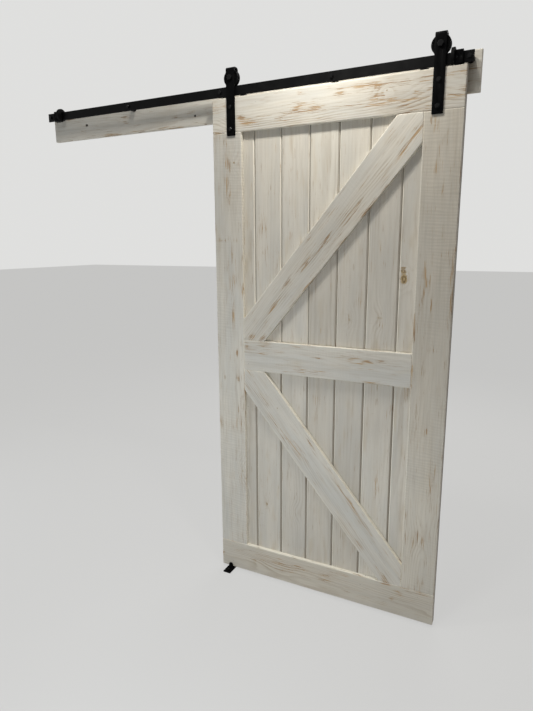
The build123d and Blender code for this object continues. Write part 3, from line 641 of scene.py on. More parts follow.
# A section swept along the grain, its face lifted and sunk a little by the planer
sweepMake = {"planerWaves": (46.0, 1.0, 9.0), "faceDepth": 0.0002}
sweptBoard, gIn, gEnd = geometryTree(
    "sweptBoard",
    {
        "Length": 2.0, "Step": 0.018, "Foot": "Vector", "Planer Depth": 0.00016,
        "Seed": 0.0, "Finish": "Material",
    },
)
t = sweptBoard
top = step(t, "ShaderNodeCombineXYZ", Z=gIn["Length"])
path = step(t, "GeometryNodeCurvePrimitiveLine", End=top)
byLength = {"mode": "LENGTH"}
path = step(t, "GeometryNodeResampleCurve", setup=byLength, Curve=path, Length=gIn["Step"])
section = step(t, "GeometryNodeMeshToCurve", Mesh=gIn["Geometry"])
ends = {"Profile Curve": section, "Fill Caps": True}
board = step(t, "GeometryNodeCurveToMesh", links=ends, Curve=path)
position = step(t, "GeometryNodeInputPosition")
onFace = step(t, "ShaderNodeSeparateXYZ", 1, Vector=position)
isLess = {"operation": "LESS_THAN"}
onFace = step(t, "FunctionNodeCompare", setup=isLess, A=onFace, B=sweepMake["faceDepth"])
wavy = noiseOf(t, scaled(t, position, sweepMake["planerWaves"]), 1.0, seed=gIn["Seed"])
offset = step(t, "ShaderNodeCombineXYZ", Y=sums(t, "MULTIPLY", wavy, gIn["Planer Depth"]))
board = step(t, "GeometryNodeSetPosition", Geometry=board, Selection=onFace, Offset=offset)
board = step(t, "GeometryNodeTransform", Geometry=board, Translation=gIn["Foot"])
finishTree(t, board, gIn["Finish"], gEnd)

# Wood screw thread, wound on each lag screw's tail and run out over its point
lagMake = {
    "core": 0.00345,
    "crest": 0.00055,
    "pitch": 0.0030,
    "straight": 0.0255,
    "point": 0.0052,
    "tip": 0.0009,
    "straightSteps": 22,
    "pointSteps": 18,
    "ridgeSides": 4,
    "smoothAngle": 50,
    "count": 5,
    "flange": 0.009,
    "start": 0.0003,
}
lagThread, gIn, gEnd = geometryTree(
    "lagThread",
    {
        "Core Radius": 0.0036, "Crest": 0.0004, "Pitch": 0.0028, "Straight": 0.026,
        "Point": 0.005, "Finish": "Material",
    },
)
t = lagThread
ridge = step(
    t,
    "GeometryNodeCurvePrimitiveCircle",
    setup={"mode": "RADIUS"},
    Resolution=lagMake["ridgeSides"],
    Radius=gIn["Crest"],
)


def winding(length, endRadius, resolution):
    radii = {"Start Radius": gIn["Core Radius"], "End Radius": endRadius}
    turns = sums(t, "DIVIDE", length, gIn["Pitch"])
    spiral = step(
        t, "GeometryNodeCurveSpiral", links=radii, Resolution=resolution, Rotations=turns,
        Height=length,
    )
    ends = {"Profile Curve": ridge, "Fill Caps": True}
    return step(t, "GeometryNodeCurveToMesh", links=ends, Curve=spiral)


straightPart = winding(gIn["Straight"], gIn["Core Radius"], lagMake["straightSteps"])
pointPart = winding(gIn["Point"], lagMake["tip"], lagMake["pointSteps"])
above = step(t, "ShaderNodeCombineXYZ", Z=gIn["Straight"])
pointPart = step(t, "GeometryNodeTransform", Geometry=pointPart, Translation=above)
both = t.nodes.new("GeometryNodeJoinGeometry")
t.links.new(straightPart, both.inputs[0])
t.links.new(pointPart, both.inputs[0])
wound = step(
    t,
    "GeometryNodeInstanceOnPoints",
    Points=gIn["Geometry"],
    Instance=both.outputs[0],
    Rotation=(-math.pi / 2, 0.0, 0.0),
)
finishTree(t, wound, gIn["Finish"], gEnd)

# Finishing nails set just under the paint, each a little different
nailMake = {
    "radius": 0.0013,
    "depth": 0.0012,
    "sides": 14,
    "spread": 0.3,
    "seed": 11,
    "proud": 0.00012,
    "smoothAngle": 40,
}
setNails, gIn, gEnd = geometryTree(
    "setNails",
    {
        "Head Radius": 0.0012, "Head Depth": 0.0012, "Spread": 0.25, "Seed": 4,
        "Finish": "Material",
    },
)
t = setNails
head = step(
    t,
    "GeometryNodeMeshCylinder",
    Vertices=nailMake["sides"],
    Radius=gIn["Head Radius"],
    Depth=gIn["Head Depth"],
)
sizes = t.nodes.new("FunctionNodeRandomValue")
sizes.data_type = "FLOAT"
wire(t, sums(t, "SUBTRACT", 1.0, gIn["Spread"]), sizes.inputs[2])
wire(t, 1.0, sizes.inputs[3])
wire(t, gIn["Seed"], sizes.inputs["Seed"])
heads = step(
    t,
    "GeometryNodeInstanceOnPoints",
    Points=gIn["Geometry"],
    Instance=head,
    Rotation=(math.pi / 2, 0.0, 0.0),
    Scale=sizes.outputs[1],
)
finishTree(t, heads, gIn["Finish"], gEnd)

# Each board's own wood: how sawn, how ringed, how warm, and where its heart lies
# (across, behind the face, run-out along it). The seed is for its planed face.
boardKinds = {
    "top_rail": {"kind": (0.10, 0.8, 0.0), "pith": (0.105, 0.012, 0.055), "seed": 3.0},
    "bottom_rail": {"kind": (0.10, 0.8, 0.45), "pith": (0.02, 0.045, 0.020), "seed": 4.7},
    "mid_rail": {"kind": (0.30, 0.2, 0.0), "pith": (0.05, 0.060, 0.040), "seed": 6.4},
    "left_stile": {"kind": (0.85, 0.25, 0.0), "pith": (0.06, 0.075, 0.012), "seed": 8.1},
    "right_stile": {"kind": (1.0, 0.35, 0.40), "pith": (0.08, 0.020, 0.030), "seed": 9.8},
    "header_board": {"kind": (0.3, 0.4, 0.1), "pith": (0.04, 0.050, 0.030), "seed": 12.6},
    "upper_brace": {"kind": (0.30, 0.8, 0.05), "pith": (0.16, 0.040, 0.012), "seed": 14.1},
    "lower_brace": {"kind": (0.20, 0.9, 0.0), "pith": (0.20, 0.050, 0.010), "seed": 15.8},
}

# Where across a board its rings show most, in millimetres, and how much they show elsewhere
ringBands = {
    "top_rail": (0, 48, 0.3), "mid_rail": (60, 139, 0.4), "bottom_rail": (20, 110, 0.5),
    "lower_brace": (8, 52, 0.12), "upper_brace": (60, 100, 0.35),
}

# Painted shade and painted highlight along a board, where the light falls unevenly: place in
# millimetres, then how much darker than its neighbours, or paler where the number is below nought
lightAndShadeAlong = {
    "right_stile": ((380, -0.13), (700, 0.0), (950, 0.13), (1500, 0.16), (1816, 0.15)),
    "left_stile": ((330, 0.0), (1000, -0.10), (1350, 0.05), (1620, 0.12)),
    "top_rail": ((200, 0.03), (500, 0.0), (700, 0.06), (790, 0.15), (1036, 0.12)),
    "mid_rail": ((300, 0.0), (560, 0.06)),
    "upper_brace": ((150, 0.08), (500, 0.16), (800, 0.10), (1000, 0.0)),
    "panel_board_4": ((425, 0.07), (1000, 0.0)),
    "panel_board_5": ((900, 0.05), (1313, 0.14), (1600, 0.05), (1850, -0.25)),
    "panel_board_6": ((838, 0.08), (1400, 0.13), (1600, 0.05), (1900, -0.10)),
    "panel_board_7": ((580, -0.15), (838, 0.09), (1510, 0.15), (1800, 0.08)),
    "panel_board_8": ((580, 0.0), (1300, 0.12)),
}

# Rubbed spots, in millimetres: along the grain, across it, half length, half width and
# how hard. Rails read from their left end and lower edge, stiles from the foot and the
# left edge, braces from their lower end and upper edge.
rubbedSpots = {
    "top_rail": [
        (405, 68, 20, 6, 1.0), (392, 62, 13, 5, 0.9), (443, 50, 46, 3.5, 1.0),
        (470, 58, 26, 4, 1.0), (473, 72, 22, 4, 0.5), (406, 126, 10, 4, 0.6),
        (572, 114, 26, 3, 0.7), (576, 95, 16, 4, 0.9), (555, 47, 60, 3, 0.5),
        (139, 55, 15, 6, 0.9), (150, 62, 12, 4, 0.6), (169, 33, 22, 3.5, 0.7),
        (168, 24, 18, 3, 0.5), (19, 4, 20, 3, 0.7), (45, 4, 12, 2.5, 0.6),
        (397, 86, 18, 3, 0.4), (681, 113, 60, 3, 0.9), (725, 106, 12, 6, 1.0),
        (718, 74, 18, 3.5, 0.9), (710, 59, 18, 4, 0.9), (735, 66, 8, 8, 0.7),
        (620, 49, 55, 3, 0.6), (734, 43, 55, 3, 0.9), (782, 51, 22, 4, 0.9),
        (849, 45, 45, 3, 0.8), (871, 62, 20, 4, 0.7), (862, 70, 8, 5, 0.6),
        (911, 74, 14, 3, 0.6), (882, 4, 60, 3, 0.8), (1029, 110, 14, 3, 0.7),
        (1029, 60, 12, 4, 0.8), (972, 114, 18, 3, 0.5), (975, 65, 14, 3, 0.5),
        (930, 20, 40, 3, 0.4), (820, 25, 60, 3, 0.4), (1000, 42, 40, 3, 0.5),
    ],
    "bottom_rail": [
        (184, 66, 9, 4, 1.0), (94, 96, 18, 3, 0.6), (544, 67, 26, 3.5, 0.8),
        (560, 74, 20, 3, 0.6), (415, 100, 12, 4, 0.5), (4, 63, 8, 5, 0.9),
        (80, 90, 22, 3, 0.5), (889, 111, 14, 4, 0.9), (896, 104, 10, 4, 0.7),
        (858, 70, 9, 4, 0.9), (980, 134, 40, 3, 0.7), (838, 136, 16, 4, 1.0),
        (300, 82, 60, 3, 0.5), (350, 60, 90, 3, 0.5), (640, 60, 80, 3, 0.5),
        (700, 48, 70, 3, 0.5), (470, 88, 60, 3, 0.4), (780, 36, 60, 3, 0.4),
        (150, 110, 40, 3, 0.4), (930, 128, 40, 3, 0.6),
    ],
    "left_stile": [
        (1795, 64, 26, 2.2, 0.9), (1790, 71, 26, 2.2, 1.0), (1795, 79, 22, 2.2, 0.8),
        (1703, 66, 45, 2.4, 1.0), (1720, 74, 40, 2.2, 0.9), (1659, 76, 30, 2.2, 0.8),
        (1642, 83, 22, 2.2, 0.6), (1663, 101, 14, 2.5, 0.5), (1472, 40, 4, 34, 0.8),
        (1478, 72, 10, 3, 0.7), (1423, 85, 30, 2.2, 0.9), (1243, 136, 24, 3, 0.9),
        (1130, 86, 44, 2.4, 1.0), (1180, 87, 30, 2.2, 0.6), (962, 102, 14, 4, 1.0),
        (838, 107, 12, 4, 1.0), (846, 98, 9, 3, 0.7), (1885, 58, 24, 2.2, 0.6),
        (1880, 66, 20, 2.2, 0.6), (600, 40, 30, 2.2, 0.5), (330, 118, 30, 2.2, 0.4),
        (160, 60, 40, 2.2, 0.4), (1010, 130, 20, 3, 0.6), (500, 90, 26, 2.2, 0.4),
    ],
    "right_stile": [
        (920, 3, 42, 3.0, 1.0), (960, 3, 20, 2.5, 0.8), (1047, 63, 16, 2.5, 0.5),
        (718, 72, 12, 3.5, 0.8), (706, 64, 12, 2.4, 0.6), (1326, 35, 46, 2.4, 0.9),
        (1306, 54, 30, 2.4, 0.7), (1300, 42, 20, 2.4, 0.7), (1231, 64, 40, 2.4, 0.7),
        (1349, 136, 60, 3.0, 0.9), (1240, 137, 60, 3.0, 0.8), (1181, 136, 40, 2.5, 0.7),
        (1115, 4, 30, 3.0, 0.9), (1053, 66, 10, 4, 0.6), (1050, 80, 8, 4, 0.5),
        (255, 58, 24, 2.6, 0.9), (230, 43, 24, 2.6, 0.9), (230, 78, 22, 2.6, 0.8),
        (1884, 27, 14, 1.2, 0.9), (1862, 42, 28, 1.2, 1.0), (1868, 54, 22, 1.2, 0.9),
        (1790, 62, 30, 1.2, 0.7), (1728, 52, 20, 1.2, 0.8), (1640, 80, 30, 1.2, 0.5),
        (560, 66, 26, 2.2, 0.4), (400, 110, 30, 2.2, 0.4),
    ],
    "mid_rail": [
        (15, 112, 12, 5, 1.0), (34, 86, 14, 2.5, 0.4), (517, 96, 26, 3, 0.8),
        (505, 90, 16, 2.5, 0.7), (566, 90, 24, 4, 0.9), (556, 82, 18, 3, 0.8),
        (633, 97, 18, 3.5, 0.8), (347, 91, 26, 2.5, 0.5), (470, 104, 30, 2.5, 0.5),
        (560, 60, 40, 2.4, 0.4), (90, 128, 26, 3, 0.7), (590, 4, 40, 2.5, 0.6),
    ],
    "upper_brace": [
        (515, 79, 30, 5, 1.0), (470, 80, 40, 2.4, 0.8), (390, 69, 60, 2.4, 0.8),
        (380, 78, 50, 2.2, 0.6), (262, 61, 18, 3.5, 0.9), (272, 79, 10, 2.5, 0.4),
        (135, 77, 30, 3, 1.0), (150, 70, 24, 2.2, 0.6), (-36, 76, 12, 4, 1.0),
        (-28, 86, 12, 3, 0.9), (0, 126, 16, 5, 0.9), (900, 110, 30, 2.5, 0.6),
        (844, 119, 26, 2.5, 0.5), (1010, 102, 100, 3, 0.9), (1040, 112, 60, 2.4, 0.6),
        (40, 12, 60, 2.4, 0.6), (700, 136, 120, 2.5, 0.7), (300, 136, 100, 2.5, 0.6),
        (760, 60, 60, 2.2, 0.4), (620, 30, 60, 2.2, 0.4),
    ],
    "lower_brace": [
        (1040, 22, 40, 2.5, 0.5), (870, 87, 6, 4, 0.4), (-20, 27, 16, 4, 1.0),
        (6, 35, 24, 2.4, 0.9), (30, 30, 40, 2.2, 0.7), (627, 117, 60, 2.2, 0.6),
        (500, 118, 90, 2.2, 0.5), (380, 112, 90, 2.2, 0.5), (240, 108, 90, 2.2, 0.5),
        (173, 29, 26, 2.4, 0.5), (1080, 60, 22, 2.2, 0.4), (700, 40, 30, 2.2, 0.3),
    ],
    "header_board": [
        (471, 75, 16, 3.5, 0.7), (471, 53, 14, 3.5, 0.8), (760, 46, 12, 3, 0.6),
        (618, 84, 14, 3, 0.4), (107, 52, 3, 30, 0.6), (400, 3, 90, 3, 0.8),
        (700, 3, 80, 3, 0.7), (920, 3, 60, 3, 0.6), (250, 40, 30, 2.4, 0.4),
        (850, 60, 30, 2.4, 0.5), (2040, 80, 16, 8, 0.7), (1990, 40, 30, 3, 0.6),
    ],
    "panel_board_2": [
        (1385, 48, 26, 3.5, 0.9), (1420, 44, 20, 2.5, 0.5), (1520, 56, 30, 2.5, 0.5),
        (430, 52, 30, 3, 0.6), (340, 46, 30, 3, 0.5), (300, 30, 40, 3, 0.4),
    ],
    "panel_board_3": [
        (372, 52, 14, 4, 0.5), (1473, 63, 24, 4, 0.5), (1660, 36, 34, 8, 0.7),
        (1510, 10, 40, 3, 0.6), (1560, 52, 50, 3, 0.5), (520, 60, 50, 3, 0.5),
    ],
    "panel_board_4": [(365, 71, 20, 6, 0.25), (1620, 44, 30, 4, 0.6), (560, 40, 60, 3, 0.5)],
    "panel_board_5": [(1640, 60, 26, 4, 0.5), (636, 50, 30, 5, 0.5), (900, 40, 60, 3, 0.5)],
    "panel_board_6": [(1284, 59, 26, 4, 0.6), (246, 102, 34, 4, 0.6)],
    "panel_board_7": [
        (1299, 57, 22, 6, 0.5), (566, 76, 26, 4, 0.6), (560, 66, 40, 3, 0.8),
        (949, 58, 22, 4, 0.7), (610, 70, 30, 3, 0.6),
    ],
    "panel_board_8": [(1457, 19, 26, 14, 0.5), (1010, 56, 40, 4, 0.8)],
}

# Where the rings bend round a knot or run out in arcs: along, across, half size, how far
swirls = {
    "top_rail": [
        (6, 62, 46, 0.036), (758, 87, 26, 0.020), (930, 75, 60, 0.022),
        (200, 22, 30, 0.0), (360, 24, 30, 0.0), (520, 22, 30, 0.0),
        (680, 28, 30, 0.0), (840, 28, 34, 0.0),
    ],
    "upper_brace": [(200, 84, 24, 0.0), (420, 84, 26, 0.0), (640, 84, 24, 0.0)],
    "left_stile": [(1796, 103, 26, 0.018), (386, 118, 40, 0.026)],
    "right_stile": [(255, 60, 50, 0.016)],
    "panel_board_8": [(1457, 21, 30, 0.035)],
    "panel_board_3": [(372, 52, 24, 0.030)],
    "panel_board_4": [(365, 71, 30, 0.026)],
    "panel_board_6": [(1284, 59, 24, 0.028)],
    "panel_board_7": [(1299, 57, 30, 0.024)],
    "panel_board_2": [(1500, 60, 26, 0.030), (385, 50, 30, 0.026)],
    "bottom_rail": [(300, 70, 70, 0.018)],
    "lower_brace": [(640, 64, 30, 0.012)],
}

# Knots: along, across, half length, half width, how strong
knots = {
    "panel_board_8": [(1457, 21, 23, 15, 0.95), (1498, 15, 4, 11, 0.75)],
    "panel_board_3": [(372, 52, 9, 5, 0.6), (352, 55, 6, 3, 0.45)],
    "panel_board_7": [(1015, 58, 24, 3, 0.5), (1299, 57, 6, 14, 0.28)],
    "panel_board_6": [(1284, 59, 8, 4, 0.35), (1500, 70, 16, 4, 0.3)],
    "panel_board_2": [(1500, 60, 5, 3, 0.45), (385, 50, 16, 5, 0.4), (1310, 22, 7, 6, 0.4)],
    "left_stile": [(1796, 103, 5, 4, 0.9), (386, 123, 8, 4, 0.45), (840, 35, 12, 6, 0.35)],
    "lower_brace": [(872, 87, 3, 3, 0.8)],
    "top_rail": [(758, 87, 4, 3, 0.7)],
}


def flat2(x, z):
    return np.array((x, z), float)


def boardShape(origin, along, across, width, ends, front):
    # ends is the board's length, or where its ends are cut at a slant a function of x and z
    shape = {"origin": origin, "along": along, "across": across}
    return {**shape, "width": width, "ends": ends, "front": front}


# How far past its own size a rubbed spot fades out: shares of it, and millimetres
spotFade = {"along": 1.4, "across": 2.2, "margin": 1.5}


def spotMask(spots, along, across):
    mask = np.zeros_like(along)
    for s, w, halfLength, halfWidth, strength in spots:
        far = ((along / mm - s) / (halfLength * spotFade["along"])) ** 2
        fade = halfWidth * spotFade["across"] + spotFade["margin"]
        far += ((across / mm - w) / fade) ** 2
        mask = np.maximum(mask, strength * np.exp(-far))
    return mask


def writeVectors(mesh, label, values):
    layer = mesh.attributes.new(label, "FLOAT_VECTOR", "POINT")
    layer.data.foreach_set("vector", np.ascontiguousarray(values, np.float32).ravel())


# Boards of the frame and the header: swept along the grain, arrises rounded by hand
boardMake = {
    "alongStep": 0.012,
    "acrossStep": 0.0028,
    "arris": 0.0024,
    "arrisSpread": 0.22,
    "arrisTurns": 4,
    "endEase": 1.15,  # how much rounder the sawn ends are than the arrises
    "endBands": (0.0, 0.0005, 0.0012, 0.0024, 0.005),
    "relief": 0.00022,
    "cup": 0.00025,
    # how often along, across, and with the seed, and how strong
    "faceWaves": ((16.0, 60.0, 2.3, 1.0), (30.0, 120.0, 5.1, 0.5)),
    # how often along and with the seed, and how strong
    "arrisWaves": ((9.0, 3.7, 1.0), (31.0, 1.9, 0.6)),
    "arrisRows": {"low": 7.9, "high": 1.3},
    "smoothAngle": 38,
}

# Tongue and groove boards behind the frame
panelMake = {
    "count": 9,
    "tongue": 0.0075,
    "tongueHalf": 0.003,
    "grooveHalf": 0.00325,
    "grooveDepth": 0.00775,
    "vee": 0.0054,
    "veeWaist": (0.42, 0.58),
    "veeLip": 0.0003,
    "ease": 0.0014,
    "easeWaist": 0.3,
    "rearEase": 0.0011,
    "lineMargin": 0.0012,
    "acrossStep": 0.004,
    "alongStep": 0.018,
    "planerDepth": 0.00018,
    "seedStep": 2.7,
    "smoothAngle": 30,
    "sawn": 0.12,
    "firstWarmth": 0.5,
    # the least, and how far apart the boards' own values lie
    "warmth": (0.0, 0.06),
    "ringed": (0.5, 0.25),
    "heartAcross": (0.03, 0.037),
    "heartBehind": (0.02, 0.010),
    "runOut": (0.004, 0.006),
}

# Painted light in the V joints: painted shade at the bottom and on the flank turned from the
# light, painted highlight on the other. Below the middle, and right of the turnover, each
# board's right flank is the shaded one.
jointPaint = {
    "middle": 1.0965,
    "turnover": 0.47,
    "shadedFlankBelow": 0.6,
    "shadedFlankAbove": 0.45,
    "litFlank": 0.9,
    "darkRise": 2.3,
    "darkStart": 1.35,
    "darkest": 0.9,
    "seamReach": 0.97,  # shares of the V's size
    "flankReach": 1.02,
    "depthReach": 1.03,
    "rearGap": 0.0003,
    "rearFrom": 0.017,
    "rearDark": 0.8,
}

# How the marks above are laid on a board, in metres or as shares
wearMake = {
    "faceDepth": 0.004,
    "swirlStretch": 1.6,
    "swirlFade": 0.7,
    "panelEmphasis": 0.25,
    "ringFade": 22,  # millimetres
    "noKnot": (9.0, 9.0, 0.0),
    "knotReach": (4, 24),  # half lengths, and millimetres
    "holeReach": 1.05,
    "holeMouth": 0.0012,
    "holeMouthShade": 0.75,
    "holeEdge": 0.0015,
    "patternShifts": (29, 1.37),  # how many, and how far apart
}


def jointWear(s, w, inward, shape):
    paint, vee = jointPaint, panelMake["vee"]
    toEdge = np.minimum(w, shape["width"] - w)
    inVee = inward < vee * paint["depthReach"]
    seam = (toEdge < vee * paint["seamReach"]) & inVee
    flank = (toEdge < vee * paint["flankReach"]) & inVee
    # painted shade, darker the deeper in the V
    deep = inward / vee * paint["darkRise"] - paint["darkStart"]
    dark = np.where(seam, np.clip(deep, 0.0, paint["darkest"]), 0.0)
    rearSeam = (toEdge < paint["rearGap"]) & (inward > paint["rearFrom"])
    dark = np.where(rearSeam, paint["rearDark"], dark)
    # painted shade on the flank turned from the light, painted highlight on the other
    rightEdge = w > shape["width"] / 2
    edgeX = shape["origin"][0] + np.where(rightEdge, shape["width"], 0.0)
    lowerHalf = s < paint["middle"]
    shadedFlank = flank & (rightEdge == (lowerHalf | (edgeX > paint["turnover"])))
    bare = np.where(lowerHalf, paint["shadedFlankBelow"], paint["shadedFlankAbove"])
    dark = np.where(shadedFlank, np.maximum(dark, bare), dark)
    return dark, np.where(seam & ~shadedFlank, paint["litFlank"], 0.0)


def swirlMarks(node, s, w):
    swirl, emphasis = np.zeros_like(s), np.zeros_like(s)
    gain = wearMake["panelEmphasis"] if node.startswith("panel") else 1.0
    for sKnot, wKnot, size, reach in swirls.get(node, []):
        far = ((s / mm - sKnot) / (size * wearMake["swirlStretch"])) ** 2
        far += ((w / mm - wKnot) / size) ** 2
        swirl += reach * np.exp(-far)
        emphasis += np.exp(-far * wearMake["swirlFade"]) * gain
    return swirl, emphasis


def knotMarks(node, s, w, face):
    # each place belongs to the knot that lies nearest, in the knot's own size
    eye = np.zeros((len(s), 3)) + wearMake["noKnot"]
    share, margin = wearMake["knotReach"]
    for sKnot, wKnot, halfLength, halfWidth, strength in knots.get(node, []):
        alongKnot = (s / mm - sKnot) / halfLength
        acrossKnot = (w / mm - wKnot) / halfWidth
        spread = np.hypot(alongKnot * halfLength, acrossKnot * halfWidth)
        near = (spread < share * halfLength + margin) & face
        near &= np.hypot(alongKnot, acrossKnot) < np.hypot(eye[:, 0], eye[:, 1])
        eye[near] = np.stack((alongKnot, acrossKnot, np.full_like(s, strength)), 1)[near]
    return eye


def paintBoard(mesh, node, shape, kind, pith, holes=()):
    # the board's own coordinates and wear, with its painted shade and painted highlight, worked
    # out from where each vertex is
    count = len(mesh.vertices)
    co = np.empty(count * 3, np.float64)
    mesh.vertices.foreach_get("co", co)
    co = co.reshape(-1, 3)
    flat = co[:, (0, 2)] - shape["origin"]
    s, w, inward = flat @ shape["along"], flat @ shape["across"], co[:, 1] - shape["front"]
    ends = shape["ends"]
    toEnd = ends(co[:, 0], co[:, 2]) if callable(ends) else np.minimum(s, ends - s)
    edge = np.minimum(np.minimum(w, shape["width"] - w), toEnd)
    edge = np.maximum(np.maximum(edge, inward - boardMake["arris"]), 0.0)
    face = inward < wearMake["faceDepth"]
    dark, paintedLight = np.zeros(count), np.zeros(count)
    if node.startswith("panel"):
        dark, paintedLight = jointWear(s, w, inward, shape)
    # painted shade where the drift is darker, painted highlight where it is paler
    if node in lightAndShadeAlong:
        drift = np.interp(s / mm, *zip(*lightAndShadeAlong[node]))
        dark, paintedLight = np.maximum(dark, drift), np.maximum(paintedLight, -drift)
    # painted shade inside the screw counterbores, fuller below the mouth
    for x, z, radius, darkness in holes:
        ring = np.hypot(co[:, 0] - x, co[:, 2] - z) < radius * wearMake["holeReach"]
        depthShade = np.where(inward > wearMake["holeMouth"], 1.0, wearMake["holeMouthShade"])
        dark = np.where(ring, darkness * depthShade, dark)
        edge = np.where(ring, wearMake["holeEdge"], edge)
    kinds = np.tile(np.array(kind, float), (count, 1))
    if node in ringBands:
        lowest, highest, outside = ringBands[node]
        away = np.maximum(lowest - w / mm, w / mm - highest)
        kinds[:, 1] *= 1 - (1 - outside) * np.clip(away / wearMake["ringFade"] + 0.5, 0, 1)
    # every board reads its own stretch of the patterns
    shifts, shift = wearMake["patternShifts"]
    offset = sum(ord(letter) for letter in node) % shifts * shift
    shifted = (pith[0], pith[1] - pith[2] * offset, pith[2])
    rubbed = spotMask(rubbedSpots.get(node, []), s, w) * face
    writeVectors(mesh, "boardPlace", np.stack((s + offset, w, inward), 1))
    writeVectors(mesh, "boardMarks", np.stack((edge, rubbed, dark), 1))
    writeVectors(mesh, "boardPith", np.tile(shifted, (count, 1)))
    writeVectors(mesh, "boardKind", kinds)
    writeVectors(mesh, "boardSwirl", np.stack((*swirlMarks(node, s, w), paintedLight), 1))
    writeVectors(mesh, "boardKnot", knotMarks(node, s, w, face))


def smoothMesh(mesh, angle):
    work = bmesh.new()
    work.from_mesh(mesh)
    bmesh.ops.recalc_face_normals(work, faces=work.faces)
    for face in work.faces:
        face.smooth = True
    work.to_mesh(mesh)
    work.free()
    mesh.set_sharp_from_angle(angle=math.radians(angle))


def boardStations(length, stepLength, bands):
    inner = np.linspace(bands[-1], length - bands[-1], max(3, round(length / stepLength)))
    near = list(bands[:-1])
    return np.array(near + list(inner) + [length - band for band in reversed(near)])


def faceSink(s, w, width, seed):
    # how far the planed face lies behind the front: a slight cup and the planer's waves
    rough = 0
    for alongWave, acrossWave, seedWave, size in boardMake["faceWaves"]:
        wave = Vector((s * alongWave, w * acrossWave, seed * seedWave))
        rough += size * noise.noise(wave)
    cup = (2 * w / width - 1) ** 2 * boardMake["cup"]
    return cup + boardMake["relief"] * (1 + rough) * 0.5


def arrisPlace(s, side, angle, width, seed):
    # a point on the rounded arris, which is a little more worn here and there
    wear = 0
    for alongWave, seedWave, size in boardMake["arrisWaves"]:
        wave = Vector((s * alongWave, seed * seedWave, boardMake["arrisRows"][side]))
        wear += size * noise.noise(wave)
    size = boardMake["arris"] * (1.0 + boardMake["arrisSpread"] * wear)
    w = size * (1 - math.cos(angle))
    sink = size * (1 - math.sin(angle)) + boardMake["cup"]
    return w if side == "low" else width - w, sink


def boardFaces(rows, count):
    # each row has the front's points and then the back's, and the sawn ends are closed last
    row = 2 * count
    faces = []
    for here in range(0, (rows - 1) * row, row):
        there = here + row
        for j in range(count - 1):
            faces.append((here + j, here + j + 1, there + j + 1, there + j))
            k = count + j
            faces.append((here + k, there + k, there + k + 1, here + k + 1))
        faces.append((here, there, there + count, here + count))
        faces.append((here + count - 1, here + row - 1, there + row - 1, there + count - 1))
    for end in (0, (rows - 1) * row):
        for j in range(count - 1):
            faces.append((end + j, end + count + j, end + count + j + 1, end + j + 1))
    return faces


def sawnMesh(name, shape, span, back, seed, creases=(), toBoundary=None):
    # span(w) is where the board starts and ends along its grain, for a line w across it
    make, width = boardMake, shape["width"]
    r, turns = make["arris"], make["arrisTurns"]
    corner = [math.pi / 2 * i / turns for i in range(turns)]
    lineCount = max(4, round(width / (make["acrossStep"] * quickStep)))
    lines = np.linspace(r * 2, width - r * 2, lineCount)
    chain = [("low", angle) for angle in corner]
    chain += [("flat", w) for w in sorted(list(lines) + list(creases))]
    chain += [("high", angle) for angle in reversed(corner)]
    middle = span(width / 2)
    length = middle[1] - middle[0]
    stations = boardStations(length, make["alongStep"] * quickStep, make["endBands"])
    ease = r * make["endEase"]
    points = []
    for fraction in stations / length:
        row = []
        for kind, value in chain:
            low, high = span({"low": 0.0, "high": width}.get(kind, value))
            s = low + (high - low) * fraction
            if kind == "flat":
                w, sink = value, faceSink(s, value, width, seed)
            else:
                w, sink = arrisPlace(s, kind, value, width, seed)
            toEnd = toBoundary(s, w) if toBoundary else min(s - low, high - s)
            if toEnd < ease:
                sink += ease - math.sqrt(max(0.0, ease * ease - (ease - toEnd) ** 2))
            x, z = shape["origin"] + shape["along"] * s + shape["across"] * w
            row.append((x, shape["front"] + sink, z))
        points += row + [(x, back, z) for x, y, z in row]
    mesh = bpy.data.meshes.new(name)
    mesh.from_pydata(points, [], boardFaces(len(stations), len(chain)))
    mesh.update()
    return mesh


print("stage: frame boards")


def pieceName(node, ending):
    words = node.split("_")
    return words[0] + "".join(word.capitalize() for word in words[1:]) + ending


def straightBoard(node):
    low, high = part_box(node)
    along, across = flat2(1, 0), flat2(0, 1)
    length, width = high.x - low.x, high.z - low.z
    if node.endswith("stile"):
        along, across, length, width = across, along, width, length
    shape = boardShape(flat2(low.x, low.z), along, across, width, length, low.y)
    name = pieceName(node, "Wood")
    mesh = sawnMesh(name, shape, lambda w: (0.0, length), high.y, boardKinds[node]["seed"])
    return name, mesh, shape


def finishBoard(node, name, mesh, shape, material, body, holes=()):
    paintBoard(mesh, node, shape, boardKinds[node]["kind"], boardKinds[node]["pith"], holes)
    smoothMesh(mesh, boardMake["smoothAngle"])
    onlyMaterial(mesh, material)
    piece = newPiece(name, mesh)
    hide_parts(node)
    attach(piece, body)


for node in ("top_rail", "bottom_rail", "mid_rail", "left_stile", "right_stile"):
    name, mesh, shape = straightBoard(node)
    finishBoard(node, name, mesh, shape, frameWood, "door")

headerScrews = {
    "places": ((-0.81423, -0.007), (-0.16623, -0.028), (0.48177, -0.018)),
    # how strong each counterbore's painted shade is, from none to full
    "darkness": (1.0, 0.0, 0.6),
    "radius": 0.00505,
    "recess": 0.005,
    "sides": 28,
}


